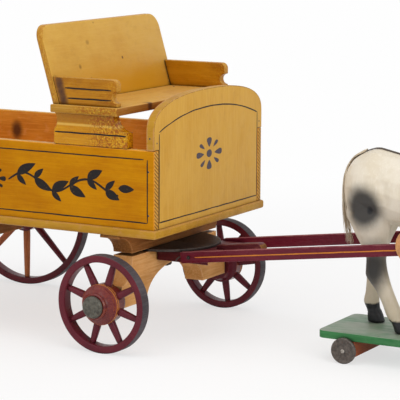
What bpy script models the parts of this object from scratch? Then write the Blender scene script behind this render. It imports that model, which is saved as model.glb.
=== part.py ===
"""Horse-drawn delivery wagon toy, in metres, +Z up, facing +X.

Places are set out from the front face of the wagon box (x = 0), the toy's middle plane (y = 0) and
the ground (z = 0). One empty carries the whole toy, so that the origin lies on the ground under
the middle of its bounding box. The right side is the -Y side.
"""

import math

import bmesh
import bpy
from mathutils import Matrix, Vector

TOY_NAME = "horse_drawn_delivery_wagon"

# Clearances
SEAT_GAP = 0.0003
TURNING_GAP = 0.0003
BORE_CLEARANCE = 0.0003
WHEEL_END_PLAY = 0.0006

# Wagon wheels
FRONT_WHEEL_RADIUS = 0.040
REAR_WHEEL_RADIUS = 0.067
RIM_DEPTH = 0.006
RIM_WIDTH = 0.0105
RIM_EDGE = 0.0012
SPOKE_COUNT = 8
SPOKE_HUB_RADIUS = 0.0031
SPOKE_RIM_RADIUS = 0.0026
SPOKE_LET_IN = 0.004
HUB_RADIUS = 0.0165
HUB_NOSE_RADIUS = 0.0108
HUB_HEEL_RADIUS = 0.0125
HUB_BAND_HALF_WIDTH = 0.0060
HUB_BEAD = 0.0012
HUB_NOSE_LENGTH = 0.0090
HUB_HEEL = 0.0134
PEG_RADIUS = 0.0030
PEG_HEAD_RADIUS = 0.0092
PEG_HEAD_HEIGHT = 0.0040
PEG_GRIP = 0.020
FRONT_RIGHT_SPOKE_ANGLE = math.radians(28.0)
FRONT_LEFT_SPOKE_ANGLE = math.radians(37.0)
REAR_SPOKE_ANGLE = 0.0

# Front gear
STEER_PIVOT_X = -0.0417
BOLSTER_THICKNESS = 0.018
BOLSTER_WAIST_INSET = 0.0162
LOWER_BOLSTER_RISE = 0.0343
LOWER_BOLSTER_DROP = 0.006
LOWER_BOLSTER_SHOULDER = 0.022
ARCH_LEG_WIDTH = 0.0392
ARCH_RISE = 0.026
FIFTH_WHEEL_RADIUS = 0.046
FIFTH_WHEEL_THICKNESS = 0.002
UPPER_BOLSTER_INSET = 0.0003
UPPER_BOLSTER_HEIGHT = 0.0171
UPPER_BOLSTER_LIP = 0.0023
KINGPIN_RADIUS = 0.002
KINGPIN_HEAD_RADIUS = 0.0048
KINGPIN_HEAD_HEIGHT = 0.0020
KINGPIN_TAIL = 0.0012
NUT_SIZE = 0.0080
NUT_HEIGHT = 0.0034
NUT_GAP = 0.0009
NUT_TURN = math.radians(20)
DRAW_BOARD_FRONT = 0.016
DRAW_BOARD_THICKNESS = 0.009
BAR_SLOT_DEPTH = 0.008
BAR_WIDTH = 0.010
BAR_HEIGHT = 0.009
BAR_REACH = 0.034

# Shafts
HINGE_X = 0.002
HINGE_DROP = 0.0026
HINGE_ROD_RADIUS = 0.0013
HINGE_ROD_END = 0.0010
SHAFT_WIDTH = 0.006
SHAFT_HEIGHT = 0.009
SHAFT_SIDE_GAP = 0.0020
SHAFT_HEEL = 0.0075
SHAFT_LENGTH = 0.262
SHAFT_TILT = math.radians(7.33)

# Wagon box
BOX_LENGTH = 0.310
BOX_WIDTH = 0.1815
PANEL_THICKNESS = 0.007
SIDE_HEIGHT = 0.064
HOUSING_DEPTH = 0.0010
FLOOR_THICKNESS = 0.0071
FLOOR_OVERHANG = 0.0023
FLOOR_ROUNDING = 0.0018
FLOOR_TO_RIM = 0.0019
FRONT_SHOULDER = 0.0786
FRONT_ARCH_RISE = 0.027
FRONT_ARCH_POWER = 2.5
REAR_AXLE_INSET = 0.0578
REAR_BOLSTER_DROP = 0.011
REAR_BOLSTER_FOOT_RUN = 0.0082
REAR_BOLSTER_FOOT_RISE = 0.006
EDGE_EASE = 0.0005

# Driver's seat
SEAT_REAR = -0.094
SEAT_FRONT = -0.031
SEAT_OVERHANG = 0.0058
SEAT_THICKNESS = 0.0065
RISER_HEIGHT = 0.0255
RISER_THICKNESS = 0.009
RISER_FOOT_FRONT = -0.0247
RISER_FOOT_HEIGHT = 0.0125
RISER_NECK_FRONT = -0.0375
RISER_NECK_INSET = 0.003
BACK_INSET = 0.0045
BACK_THICKNESS = 0.006
BACK_HEIGHT = 0.0655
BACK_CORNER = 0.012
BACK_LEAN = math.radians(16.4)
ARM_THICKNESS = 0.007
ARM_HEIGHT = 0.0225
ARM_SCROLL = 0.0048
ARM_FRONT = -0.0335
ARM_COVE = 0.0045
ARM_FOOT = 0.0040

# Platform of the horse
TUG_X = 0.200
PLATFORM_REAR = -0.0828
PLATFORM_LENGTH = 0.188
PLATFORM_HALF_WIDTH = 0.035
PLATFORM_THICKNESS = 0.0063
PLATFORM_CORNER = 0.005
PLATFORM_WHEEL_RADIUS = 0.0104
PLATFORM_WHEEL_THICKNESS = 0.003
PLATFORM_WHEEL_INSET = 0.024
PLATFORM_WHEEL_RIM_EASE = 0.0005
PLATFORM_WHEEL_RISE = 0.0027
AXLE_BLOCK_LENGTH = 0.016
AXLE_BLOCK_HEIGHT = 0.0125
NAIL_RADIUS = 0.0009
NAIL_HEAD_RADIUS = 0.0018
NAIL_HEAD_HEIGHT = 0.0007
NAIL_GRIP = 0.010

# Horse and harness, heights above the platform and lengths from the tug loops
STRAP_THICKNESS = 0.0011
STRAP_WIDTH = 0.012
BACK_STRAP_WIDTH = 0.0022
BACK_STRAP_REAR = -0.0625
BELLY_SPLIT = 0.108
STRAP_SLAB_TOP = 0.2
TUG_WIDTH = 0.029
TUG_WALL = 0.0016
TUG_TAB_THICKNESS = 0.0021
TUG_SIDE_ROOM = 0.0004
TUG_ROOM_ABOVE = 0.0093
TUG_ROOM_BELOW = 0.0042
TUG_TAB_TOP = 0.110
TUG_FULLNESS = 1.12
LEG_HALF_TRACK = 0.0138
EYE_RADIUS = 0.0024
EAR_HEIGHT = 0.016
EAR_RADIUS = 0.0031

# Each ring of the horse: topline x and z, underline x and z, half width
TORSO_RINGS = (
    (-0.0782, 0.1176, -0.0782, 0.1116, 0.0030),
    (-0.0765, 0.1256, -0.0772, 0.1036, 0.0120),
    (-0.0730, 0.1331, -0.0740, 0.0956, 0.0200),
    (-0.0660, 0.1381, -0.0670, 0.0906, 0.0250),
    (-0.0560, 0.1416, -0.0550, 0.0866, 0.0280),
    (-0.0470, 0.1428, -0.0430, 0.0846, 0.0288),
    (-0.0300, 0.1396, -0.0280, 0.0826, 0.0282),
    (-0.0100, 0.1371, -0.0100, 0.0776, 0.0290),
    (0.0080, 0.1381, 0.0100, 0.0746, 0.0288),
    (0.0220, 0.1416, 0.0280, 0.0746, 0.0266),
    (0.0310, 0.1461, 0.0450, 0.0796, 0.0246),
    (0.0380, 0.1531, 0.0570, 0.0916, 0.0220),
    (0.0440, 0.1621, 0.0630, 0.1086, 0.0182),
    (0.0500, 0.1726, 0.0645, 0.1276, 0.0142),
    (0.0560, 0.1836, 0.0665, 0.1456, 0.0112),
    (0.0620, 0.1936, 0.0700, 0.1596, 0.0096),
    (0.0680, 0.2001, 0.0735, 0.1656, 0.0098),
    (0.0755, 0.1981, 0.0780, 0.1646, 0.0102),
    (0.0830, 0.1891, 0.0820, 0.1621, 0.0090),
    (0.0900, 0.1786, 0.0870, 0.1591, 0.0073),
    (0.0960, 0.1696, 0.0910, 0.1556, 0.0066),
    (0.1005, 0.1621, 0.0945, 0.1526, 0.0064),
    (0.1015, 0.1581, 0.0975, 0.1531, 0.0040),
)
# Each ring of a leg: rear x and z, front x and z, half width
HIND_LEG_FORWARD = (
    (-0.0720, 0.1036, -0.0340, 0.1036, 0.0090),
    (-0.0742, 0.0926, -0.0320, 0.0886, 0.0112),
    (-0.0695, 0.0851, -0.0320, 0.0816, 0.0108),
    (-0.0620, 0.0746, -0.0335, 0.0736, 0.0094),
    (-0.0540, 0.0646, -0.0350, 0.0656, 0.0080),
    (-0.0502, 0.0576, -0.0351, 0.0591, 0.0070),
    (-0.0504, 0.0476, -0.0342, 0.0516, 0.0065),
    (-0.0500, 0.0431, -0.0322, 0.0436, 0.0062),
    (-0.0418, 0.0333, -0.0295, 0.0351, 0.0053),
    (-0.0356, 0.0223, -0.0245, 0.0246, 0.0047),
    (-0.0325, 0.0150, -0.0205, 0.0160, 0.0052),
    (-0.0295, 0.0100, -0.0190, 0.0110, 0.0047),
    (-0.0270, 0.0072, -0.0155, 0.0082, 0.0054),
    (-0.0250, 0.0003, -0.0110, 0.0003, 0.0064),
)
HIND_LEG_BACK = (
    (-0.0720, 0.1036, -0.0340, 0.1036, 0.0090),
    (-0.0742, 0.0926, -0.0340, 0.0886, 0.0112),
    (-0.0715, 0.0836, -0.0370, 0.0796, 0.0108),
    (-0.0675, 0.0726, -0.0425, 0.0706, 0.0094),
    (-0.0635, 0.0616, -0.0460, 0.0616, 0.0080),
    (-0.0610, 0.0536, -0.0470, 0.0546, 0.0070),
    (-0.0617, 0.0456, -0.0475, 0.0476, 0.0065),
    (-0.0617, 0.0406, -0.0485, 0.0406, 0.0062),
    (-0.0618, 0.0336, -0.0505, 0.0326, 0.0053),
    (-0.0628, 0.0236, -0.0525, 0.0236, 0.0047),
    (-0.0642, 0.0171, -0.0522, 0.0166, 0.0052),
    (-0.0615, 0.0116, -0.0515, 0.0106, 0.0047),
    (-0.0610, 0.0091, -0.0495, 0.0086, 0.0054),
    (-0.0610, 0.0003, -0.0460, 0.0003, 0.0064),
)
FORE_LEG = (
    (0.0360, 0.1000, 0.0560, 0.1030, 0.0080),
    (0.0370, 0.0816, 0.0590, 0.0836, 0.0092),
    (0.0390, 0.0716, 0.0570, 0.0736, 0.0082),
    (0.0405, 0.0596, 0.0545, 0.0616, 0.0066),
    (0.0415, 0.0476, 0.0525, 0.0486, 0.0058),
    (0.0415, 0.0416, 0.0535, 0.0406, 0.0062),
    (0.0420, 0.0346, 0.0515, 0.0336, 0.0051),
    (0.0420, 0.0236, 0.0505, 0.0226, 0.0046),
    (0.0410, 0.0156, 0.0515, 0.0141, 0.0051),
    (0.0430, 0.0106, 0.0525, 0.0091, 0.0046),
    (0.0435, 0.0086, 0.0545, 0.0076, 0.0054),
    (0.0435, 0.0003, 0.0575, 0.0003, 0.0064),
)
FORE_STEP_RIGHT = -0.009
FORE_STEP_LEFT = 0.013
# Each ring of the tail: outer x and z, inner x and z, half width
TAIL_RINGS = (
    (-0.0700, 0.1400, -0.0650, 0.1350, 0.0022),
    (-0.0772, 0.1330, -0.0730, 0.1290, 0.0036),
    (-0.0812, 0.1210, -0.0765, 0.1190, 0.0044),
    (-0.0822, 0.1080, -0.0770, 0.1080, 0.0048),
    (-0.0820, 0.0950, -0.0765, 0.0950, 0.0048),
    (-0.0805, 0.0800, -0.0750, 0.0810, 0.0042),
    (-0.0775, 0.0690, -0.0735, 0.0700, 0.0030),
    (-0.0745, 0.0620, -0.0730, 0.0625, 0.0014),
)
# Each ring of the mane: crest x and z, root x and z, half width
MANE_RINGS = (
    (0.0250, 0.1445, 0.0290, 0.1400, 0.0012),
    (0.0300, 0.1560, 0.0400, 0.1480, 0.0026),
    (0.0380, 0.1700, 0.0480, 0.1640, 0.0030),
    (0.0450, 0.1830, 0.0550, 0.1770, 0.0030),
    (0.0520, 0.1950, 0.0620, 0.1880, 0.0030),
    (0.0610, 0.2055, 0.0670, 0.1950, 0.0028),
    (0.0710, 0.2060, 0.0710, 0.1960, 0.0024),
    (0.0800, 0.1985, 0.0770, 0.1930, 0.0012),
)
EYE_PLACE = (0.0770, 0.1850)
EYE_SPREAD = 0.0096
EAR_PLACE = (0.0660, 0.1925)
EAR_SPREAD = 0.0066
EAR_SPLAY = math.radians(10)

# Fineness of round pieces
REAR_RIM_STEPS = 48
FRONT_RIM_STEPS = 36
HUB_STEPS = 20
SPOKE_SIDES = 8
PEG_STEPS = 14
HOLE_STEPS = 16
NAIL_STEPS = 10
DISC_STEPS = 40
SMALL_WHEEL_STEPS = 20
TORSO_SIDES = 16
LEG_SIDES = 10
HAIR_SIDES = 8
EAR_SIDES = 8
EYE_STEPS = 10
ARC_STEPS = 8
ARCH_STEPS = 12
DOME_STEPS = 4
CORNER_STEPS = 3
TUG_STEPS = 20

# Heights and widths that follow from the sizes above
LOWER_BOLSTER_TOP = FRONT_WHEEL_RADIUS + LOWER_BOLSTER_RISE
FIFTH_WHEEL_BOTTOM = LOWER_BOLSTER_TOP + SEAT_GAP
FIFTH_WHEEL_TOP = FIFTH_WHEEL_BOTTOM + FIFTH_WHEEL_THICKNESS
UPPER_BOLSTER_BOTTOM = FIFTH_WHEEL_TOP + TURNING_GAP
UPPER_BOLSTER_TOP = UPPER_BOLSTER_BOTTOM + UPPER_BOLSTER_HEIGHT
FLOOR_BOTTOM = UPPER_BOLSTER_TOP + SEAT_GAP
FLOOR_TOP = FLOOR_BOTTOM + FLOOR_THICKNESS
SIDE_BOTTOM = FLOOR_TOP - HOUSING_DEPTH + SEAT_GAP
SIDE_TOP = SIDE_BOTTOM + SIDE_HEIGHT
BOX_HALF_WIDTH = BOX_WIDTH / 2
SEAT_HALF_WIDTH = BOX_HALF_WIDTH + SEAT_OVERHANG
BACK_HALF_WIDTH = SEAT_HALF_WIDTH - BACK_INSET
SEAT_BOTTOM = SIDE_TOP + SEAT_GAP + RISER_HEIGHT + SEAT_GAP
SEAT_TOP = SEAT_BOTTOM + SEAT_THICKNESS
SEAT_FRAME_BOTTOM = SEAT_TOP - HOUSING_DEPTH + SEAT_GAP
BACK_FOOT = BACK_THICKNESS / math.cos(BACK_LEAN)
WHEEL_PLANE = BOX_HALF_WIDTH + FLOOR_OVERHANG + FLOOR_TO_RIM + RIM_WIDTH / 2
LOWER_BOLSTER_HALF_WIDTH = WHEEL_PLANE - HUB_HEEL - WHEEL_END_PLAY
BOLSTER_WAIST_HALF_WIDTH = LOWER_BOLSTER_HALF_WIDTH - BOLSTER_WAIST_INSET
ARCH_HALF_WIDTH = LOWER_BOLSTER_HALF_WIDTH - ARCH_LEG_WIDTH
UPPER_BOLSTER_HALF_WIDTH = BOX_HALF_WIDTH - UPPER_BOLSTER_INSET
REAR_BOLSTER_FOOT_HALF_WIDTH = LOWER_BOLSTER_HALF_WIDTH - REAR_BOLSTER_FOOT_RUN
REAR_AXLE_X = REAR_AXLE_INSET - BOX_LENGTH
HUB_NOSE = HUB_BAND_HALF_WIDTH + HUB_NOSE_LENGTH
HINGE_Z = LOWER_BOLSTER_TOP - HINGE_DROP
HORSE_HALF_WIDTH = max(ring[-1] for ring in TORSO_RINGS)
TUG_TAB_FACE = HORSE_HALF_WIDTH + STRAP_THICKNESS + 3 * SEAT_GAP
TUG_INNER_FACE = TUG_TAB_FACE + TUG_TAB_THICKNESS
SHAFT_INNER_Y = TUG_INNER_FACE + TUG_SIDE_ROOM
DRAW_BOARD_HALF_WIDTH = SHAFT_INNER_Y - SHAFT_SIDE_GAP
SHAFT_MIDDLE_Y = SHAFT_INNER_Y + SHAFT_WIDTH / 2
TUG_Z = HINGE_Z + (TUG_X - HINGE_X) * math.tan(SHAFT_TILT)
PLATFORM_BOTTOM = 2 * PLATFORM_WHEEL_RADIUS - PLATFORM_WHEEL_RISE
PLATFORM_TOP = PLATFORM_BOTTOM + PLATFORM_THICKNESS
TOY_FRONT = TUG_X + PLATFORM_REAR + PLATFORM_LENGTH
TOY_REAR = REAR_AXLE_X - REAR_WHEEL_RADIUS
TOY_MIDDLE_X = (TOY_FRONT + TOY_REAR) / 2

PLANE_TURNS = {
    "XY": (0.0, 0.0, 0.0),
    "XZ": (math.pi / 2, 0.0, 0.0),
    "YZ": (math.pi / 2, 0.0, math.pi / 2),
}


def linear(level):
    """One channel of a screen colour, 0 to 255, as linear light."""
    share = level / 255
    if share <= 0.04045:
        return share / 12.92
    return ((share + 0.055) / 1.055) ** 2.4


def finish(name, screen_colour, roughness, metallic=0.0):
    """A Principled material from a screen colour."""
    material = bpy.data.materials.new(name)
    material.use_nodes = True
    shader = material.node_tree.nodes["Principled BSDF"]
    shader.inputs["Base Color"].default_value = (*[linear(level) for level in screen_colour], 1.0)
    shader.inputs["Roughness"].default_value = roughness
    shader.inputs["Metallic"].default_value = metallic
    return material


class Bench:
    """The collections that the toy is put together in."""

    def __init__(self):
        self.parts = bpy.data.collections.new(TOY_NAME)
        self.cutters = bpy.data.collections.new("cutters")
        for collection in (self.parts, self.cutters):
            bpy.context.scene.collection.children.link(collection)
        self.frame = self.joint("toy_frame", None, (0.0, 0.0, 0.0))
        self.frame.location = (-TOY_MIDDLE_X, 0.0, 0.0)

    def joint(self, name, parent, place):
        """An empty on a joint's axis, at a place in the toy."""
        empty = bpy.data.objects.new(name, None)
        empty["place"] = place
        empty.empty_display_size = 0.01
        self.parts.objects.link(empty)
        if parent is not None:
            empty.parent = parent
            empty.location = Vector(place) - Vector(parent["place"])
        return empty

    def put(self, name, mesh, parent, place, turn=(0.0, 0.0, 0.0)):
        """An object at a place in the toy, carried by a joint's empty."""
        piece = bpy.data.objects.new(name, mesh)
        piece.parent = parent
        piece.location = Vector(place) - Vector(parent["place"])
        piece.rotation_euler = turn
        return piece

    def part(self, name, mesh, material, parent, place, turn=(0.0, 0.0, 0.0)):
        """A named piece of the toy, with its finish."""
        piece = self.put(name, mesh, parent, place, turn)
        mesh.materials.clear()
        mesh.materials.append(material)
        self.parts.objects.link(piece)
        return piece

    def cutter(self, name, mesh, parent, place, turn=(0.0, 0.0, 0.0)):
        """A hidden solid that cuts other pieces."""
        piece = self.put(name, mesh, parent, place, turn)
        piece.hide_render = True
        piece.display_type = "WIRE"
        self.cutters.objects.link(piece)
        return piece


def combine(piece, cutter, operation):
    """Cut the piece by another solid, or keep what lies inside it."""
    modifier = piece.modifiers.new(cutter.name, "BOOLEAN")
    modifier.object = cutter
    modifier.operation = operation
    modifier.solver = "EXACT"


def ease(piece, width, segments=1):
    """Round the piece's sharp edges."""
    modifier = piece.modifiers.new("eased_edges", "BEVEL")
    modifier.width = width
    modifier.segments = segments
    modifier.limit_method = "ANGLE"
    modifier.angle_limit = math.radians(40)


def mesh_from(bm, name, smooth=True):
    """A mesh data block from a bmesh."""
    mesh = bpy.data.meshes.new(name)
    bm.to_mesh(mesh)
    bm.free()
    if smooth:
        mesh.shade_smooth()
        mesh.set_sharp_from_angle(angle=math.radians(35))
    return mesh


def block(name, size):
    """A box of the given size, centred."""
    bm = bmesh.new()
    bmesh.ops.create_cube(bm, size=1.0, matrix=Matrix.Diagonal((*size, 1.0)))
    return mesh_from(bm, name, smooth=False)


def rod(name, radius, length, sides):
    """A cylinder about Z, centred."""
    bm = bmesh.new()
    bmesh.ops.create_cone(
        bm, cap_ends=True, segments=sides, radius1=radius, radius2=radius, depth=length
    )
    return mesh_from(bm, name)


def prism(name, outline, thickness):
    """A flat outline drawn in XY, given a thickness about z = 0."""
    curve = bpy.data.curves.new(name, "CURVE")
    curve.dimensions = "2D"
    curve.fill_mode = "BOTH"
    curve.extrude = thickness / 2
    spline = curve.splines.new("POLY")
    spline.points.add(len(outline) - 1)
    for point, (across, up) in zip(spline.points, outline):
        point.co = (across, up, 0.0, 1.0)
    spline.use_cyclic_u = True
    drawing = bpy.data.objects.new(name + "_drawing", curve)
    bpy.context.scene.collection.objects.link(drawing)
    mesh = bpy.data.meshes.new_from_object(
        drawing.evaluated_get(bpy.context.evaluated_depsgraph_get())
    )
    bpy.data.objects.remove(drawing)
    bm = bmesh.new()
    bm.from_mesh(mesh)
    bmesh.ops.remove_doubles(bm, verts=bm.verts, dist=0.00001)
    bmesh.ops.recalc_face_normals(bm, faces=bm.faces)
    bpy.data.meshes.remove(mesh)
    return mesh_from(bm, name)


def profile(name, points, closed):
    """The half section of a turned piece, in the XZ plane at +X."""
    mesh = bpy.data.meshes.new(name)
    count = len(points)
    edges = [(index, index + 1) for index in range(count - 1)]
    if closed:
        edges.append((count - 1, 0))
    mesh.from_pydata([(radius, 0.0, height) for radius, height in points], edges, [])
    return mesh


def turn_on_lathe(piece, steps):
    """Spin a half section about Z."""
    modifier = piece.modifiers.new("lathe", "SCREW")
    modifier.steps = steps
    modifier.render_steps = steps
    modifier.use_merge_vertices = True
    modifier.merge_threshold = 0.00005
    modifier.use_smooth_shade = True


def arc(centre, radii, start, end, steps=ARC_STEPS):
    """Points along an elliptical arc, angles in degrees."""
    points = []
    for step in range(steps + 1):
        angle = math.radians(start + (end - start) * step / steps)
        points.append((centre[0] + radii[0] * math.cos(angle), centre[1] + radii[1] * math.sin(angle)))
    return points


def mirrored(half):
    """A closed outline from its right half, listed from the top down."""
    return half + [(-across, up) for across, up in reversed(half) if across > 1e-9]


def blend(before, start, end, after, share):
    """A point on the smooth curve between two rings."""
    return tuple(
        0.5 * (
            2 * b + (c - a) * share + (2 * a - 5 * b + 4 * c - d) * share ** 2
            + (3 * b - a - 3 * c + d) * share ** 3
        )
        for a, b, c, d in zip(before, start, end, after)
    )


def smoothed(rings, between):
    """The rings with others set between them on a smooth curve."""
    result = []
    for index in range(len(rings) - 1):
        before = rings[max(index - 1, 0)]
        after = rings[min(index + 2, len(rings) - 1)]
        for step in range(between + 1):
            share = step / (between + 1)
            result.append(blend(before, rings[index], rings[index + 1], after, share))
    result.append(rings[-1])
    return result


def loft(name, rings, sides, between=1, grow=0.0):
    """A solid skinned over oval rings that stand square to the middle plane.

    Each ring reaches from one point of the side view to the opposite one, and out to its half
    width. The skin is closed at both ends, and grows outwards by the given amount.
    """
    bm = bmesh.new()
    loops = []
    for x_a, z_a, x_b, z_b, half_width in smoothed(rings, between):
        middle = Vector(((x_a + x_b) / 2, 0.0, (z_a + z_b) / 2))
        upright = Vector((x_a - x_b, 0.0, z_a - z_b)) / 2
        across = Vector((0.0, half_width, 0.0))
        loop = []
        for side in range(sides):
            angle = 2 * math.pi * side / sides
            loop.append(bm.verts.new(middle + upright * math.cos(angle) + across * math.sin(angle)))
        loops.append(loop)
    for low, high in zip(loops, loops[1:]):
        for side in range(sides):
            after = (side + 1) % sides
            bm.faces.new((low[side], low[after], high[after], high[side]))
    bm.faces.new(loops[0])
    bm.faces.new(loops[-1])
    bmesh.ops.recalc_face_normals(bm, faces=bm.faces)
    if grow:
        bm.normal_update()
        shifts = [(vertex, vertex.normal * grow) for vertex in bm.verts]
        for vertex, shift in shifts:
            vertex.co += shift
    return mesh_from(bm, name)


def make_finishes():
    """Every finish of the toy, by its use."""
    return {
        "side_paint": finish("side_paint", (203, 145, 22), 0.45),
        "front_paint": finish("front_paint", (212, 172, 84), 0.5),
        "bolster_paint": finish("bolster_paint", (205, 152, 82), 0.55),
        "wheel_paint": finish("wheel_paint", (98, 34, 46), 0.4),
        "rim_paint": finish("rim_paint", (86, 40, 50), 0.45),
        "black_iron": finish("black_iron", (52, 50, 48), 0.5, 0.6),
        "peg_iron": finish("peg_iron", (75, 80, 72), 0.45, 0.5),
        "bright_steel": finish("bright_steel", (180, 180, 176), 0.35, 0.9),
        "shaft_paint": finish("shaft_paint", (100, 26, 44), 0.35),
        "platform_paint": finish("platform_paint", (72, 132, 86), 0.5),
        "block_stain": finish("block_stain", (150, 78, 50), 0.6),
        "disc_tin": finish("disc_tin", (78, 72, 68), 0.5, 0.5),
        "horse_paint": finish("horse_paint", (224, 214, 190), 0.5),
        "hair": finish("hair", (214, 202, 172), 0.8),
        "tan_leather": finish("tan_leather", (214, 150, 82), 0.6),
        "dark_leather": finish("dark_leather", (62, 54, 48), 0.6),
        "eye_glass": finish("eye_glass", (22, 16, 12), 0.1),
    }


def pin_hole(bench, name, parent, radius, place, length, turn=(0.0, 0.0, 0.0)):
    """A round cutter for the hole of a pin, with the clearance round it."""
    mesh = rod(name, radius + BORE_CLEARANCE, length, HOLE_STEPS)
    return bench.cutter(name, mesh, parent, place, turn)


def build_floor(bench, finishes, box):
    """The floor plank, rounded all round, with a shallow housing that the box's boards stand in."""
    length = BOX_LENGTH + 2 * FLOOR_OVERHANG
    width = BOX_WIDTH + 2 * FLOOR_OVERHANG
    place = (-BOX_LENGTH / 2, 0.0, FLOOR_BOTTOM + FLOOR_THICKNESS / 2)
    mesh = block("floor_board", (length, width, FLOOR_THICKNESS))
    floor = bench.part("floor_board", mesh, finishes["side_paint"], box, place)
    ease(floor, FLOOR_ROUNDING, 2)
    outer_size = (BOX_LENGTH + 2 * SEAT_GAP, BOX_WIDTH + 2 * SEAT_GAP, 2 * HOUSING_DEPTH)
    margin = 2 * (PANEL_THICKNESS + SEAT_GAP)
    inner_size = (BOX_LENGTH - margin, BOX_WIDTH - margin, 3 * HOUSING_DEPTH)
    place = (-BOX_LENGTH / 2, 0.0, FLOOR_TOP)
    housing = bench.cutter("floor_housing", block("floor_housing", outer_size), box, place)
    core = bench.cutter("floor_housing_core", block("floor_housing_core", inner_size), box, place)
    combine(housing, core, "DIFFERENCE")
    combine(floor, housing, "DIFFERENCE")
    return floor


def front_board_outline():
    """The dashboard seen from the front, let in between the sides and arched on top."""
    between = BOX_HALF_WIDTH - PANEL_THICKNESS - SEAT_GAP
    notch = SIDE_TOP + SEAT_GAP
    spring = FLOOR_TOP + FRONT_SHOULDER
    half = []
    steps = 2 * ARC_STEPS
    for step in range(steps + 1):
        angle = math.pi / 2 * (1 - step / steps)
        across = BOX_HALF_WIDTH * math.cos(angle) ** (2 / FRONT_ARCH_POWER)
        up = spring + FRONT_ARCH_RISE * math.sin(angle) ** (2 / FRONT_ARCH_POWER)
        half.append((across, up))
    half += [(BOX_HALF_WIDTH, notch), (between, notch), (between, SIDE_BOTTOM)]
    return mirrored(half)


def build_box(bench, finishes, box):
    """The sides, dashboard and tail board that stand on the floor."""
    side_y = BOX_HALF_WIDTH - PANEL_THICKNESS / 2
    side_size = (BOX_LENGTH, PANEL_THICKNESS, SIDE_HEIGHT)
    for name, side in (("right", -1), ("left", 1)):
        place = (-BOX_LENGTH / 2, side * side_y, SIDE_BOTTOM + SIDE_HEIGHT / 2)
        mesh = block("side_panel_" + name, side_size)
        panel = bench.part("side_panel_" + name, mesh, finishes["side_paint"], box, place)
        ease(panel, EDGE_EASE)
    mesh = prism("front_board", front_board_outline(), PANEL_THICKNESS)
    front = bench.part(
        "front_board", mesh, finishes["front_paint"], box,
        (-PANEL_THICKNESS / 2, 0.0, 0.0), PLANE_TURNS["YZ"],
    )
    ease(front, EDGE_EASE)
    tail_width = BOX_WIDTH - 2 * (PANEL_THICKNESS + SEAT_GAP)
    mesh = block("tail_board", (PANEL_THICKNESS, tail_width, SIDE_HEIGHT))
    place = (PANEL_THICKNESS / 2 - BOX_LENGTH, 0.0, SIDE_BOTTOM + SIDE_HEIGHT / 2)
    tail = bench.part("tail_board", mesh, finishes["side_paint"], box, place)
    ease(tail, EDGE_EASE)


def riser_outline():
    """The seat riser seen from the right: a square foot that sweeps up to a narrow neck."""
    bottom = SIDE_TOP + SEAT_GAP
    top = bottom + RISER_HEIGHT
    shoulder = bottom + RISER_FOOT_HEIGHT
    sweep = RISER_FOOT_FRONT - RISER_NECK_FRONT
    rise = top - shoulder
    rear = [(SEAT_REAR, bottom), (SEAT_REAR, shoulder)]
    hollow = arc((SEAT_REAR, (shoulder + top) / 2), (RISER_NECK_INSET, rise / 2), -90, 90)
    front = arc((RISER_FOOT_FRONT, top), (sweep, rise), 180, 270)
    return [(RISER_FOOT_FRONT, bottom)] + rear + hollow[1:-1] + [(SEAT_REAR, top)] + front


def arm_outline():
    """The arm rest seen from the right, its rear end laid against the sloping back."""
    bottom = SEAT_FRAME_BOTTOM
    top = bottom + ARM_HEIGHT
    slope = math.tan(BACK_LEAN)
    rear = SEAT_REAR + BACK_FOOT + SEAT_GAP / math.cos(BACK_LEAN)
    outline = [(rear, bottom), (rear - ARM_HEIGHT * slope, top)]
    outline += arc((ARM_FRONT - ARM_SCROLL, top - ARM_SCROLL), (ARM_SCROLL, ARM_SCROLL), 90, 0)
    cove_top = top - 2 * ARM_SCROLL
    cove = (cove_top - bottom - ARM_FOOT) / 2
    outline += arc((ARM_FRONT, cove_top - cove), (ARM_COVE, cove), 90, 270)
    outline.append((ARM_FRONT, bottom))
    return outline


def seat_housing_outline():
    """The shallow housing in the seat seen from above, for the back's foot and both arms."""
    outer = BACK_HALF_WIDTH + SEAT_GAP
    inner = BACK_HALF_WIDTH - ARM_THICKNESS - SEAT_GAP
    rear = SEAT_REAR - BACK_FOOT
    foot = SEAT_REAR + BACK_FOOT + SEAT_GAP
    front = ARM_FRONT + SEAT_GAP
    half = [(rear, outer), (front, outer), (front, inner), (foot, inner)]
    return half + [(x, -y) for x, y in reversed(half)]


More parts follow.
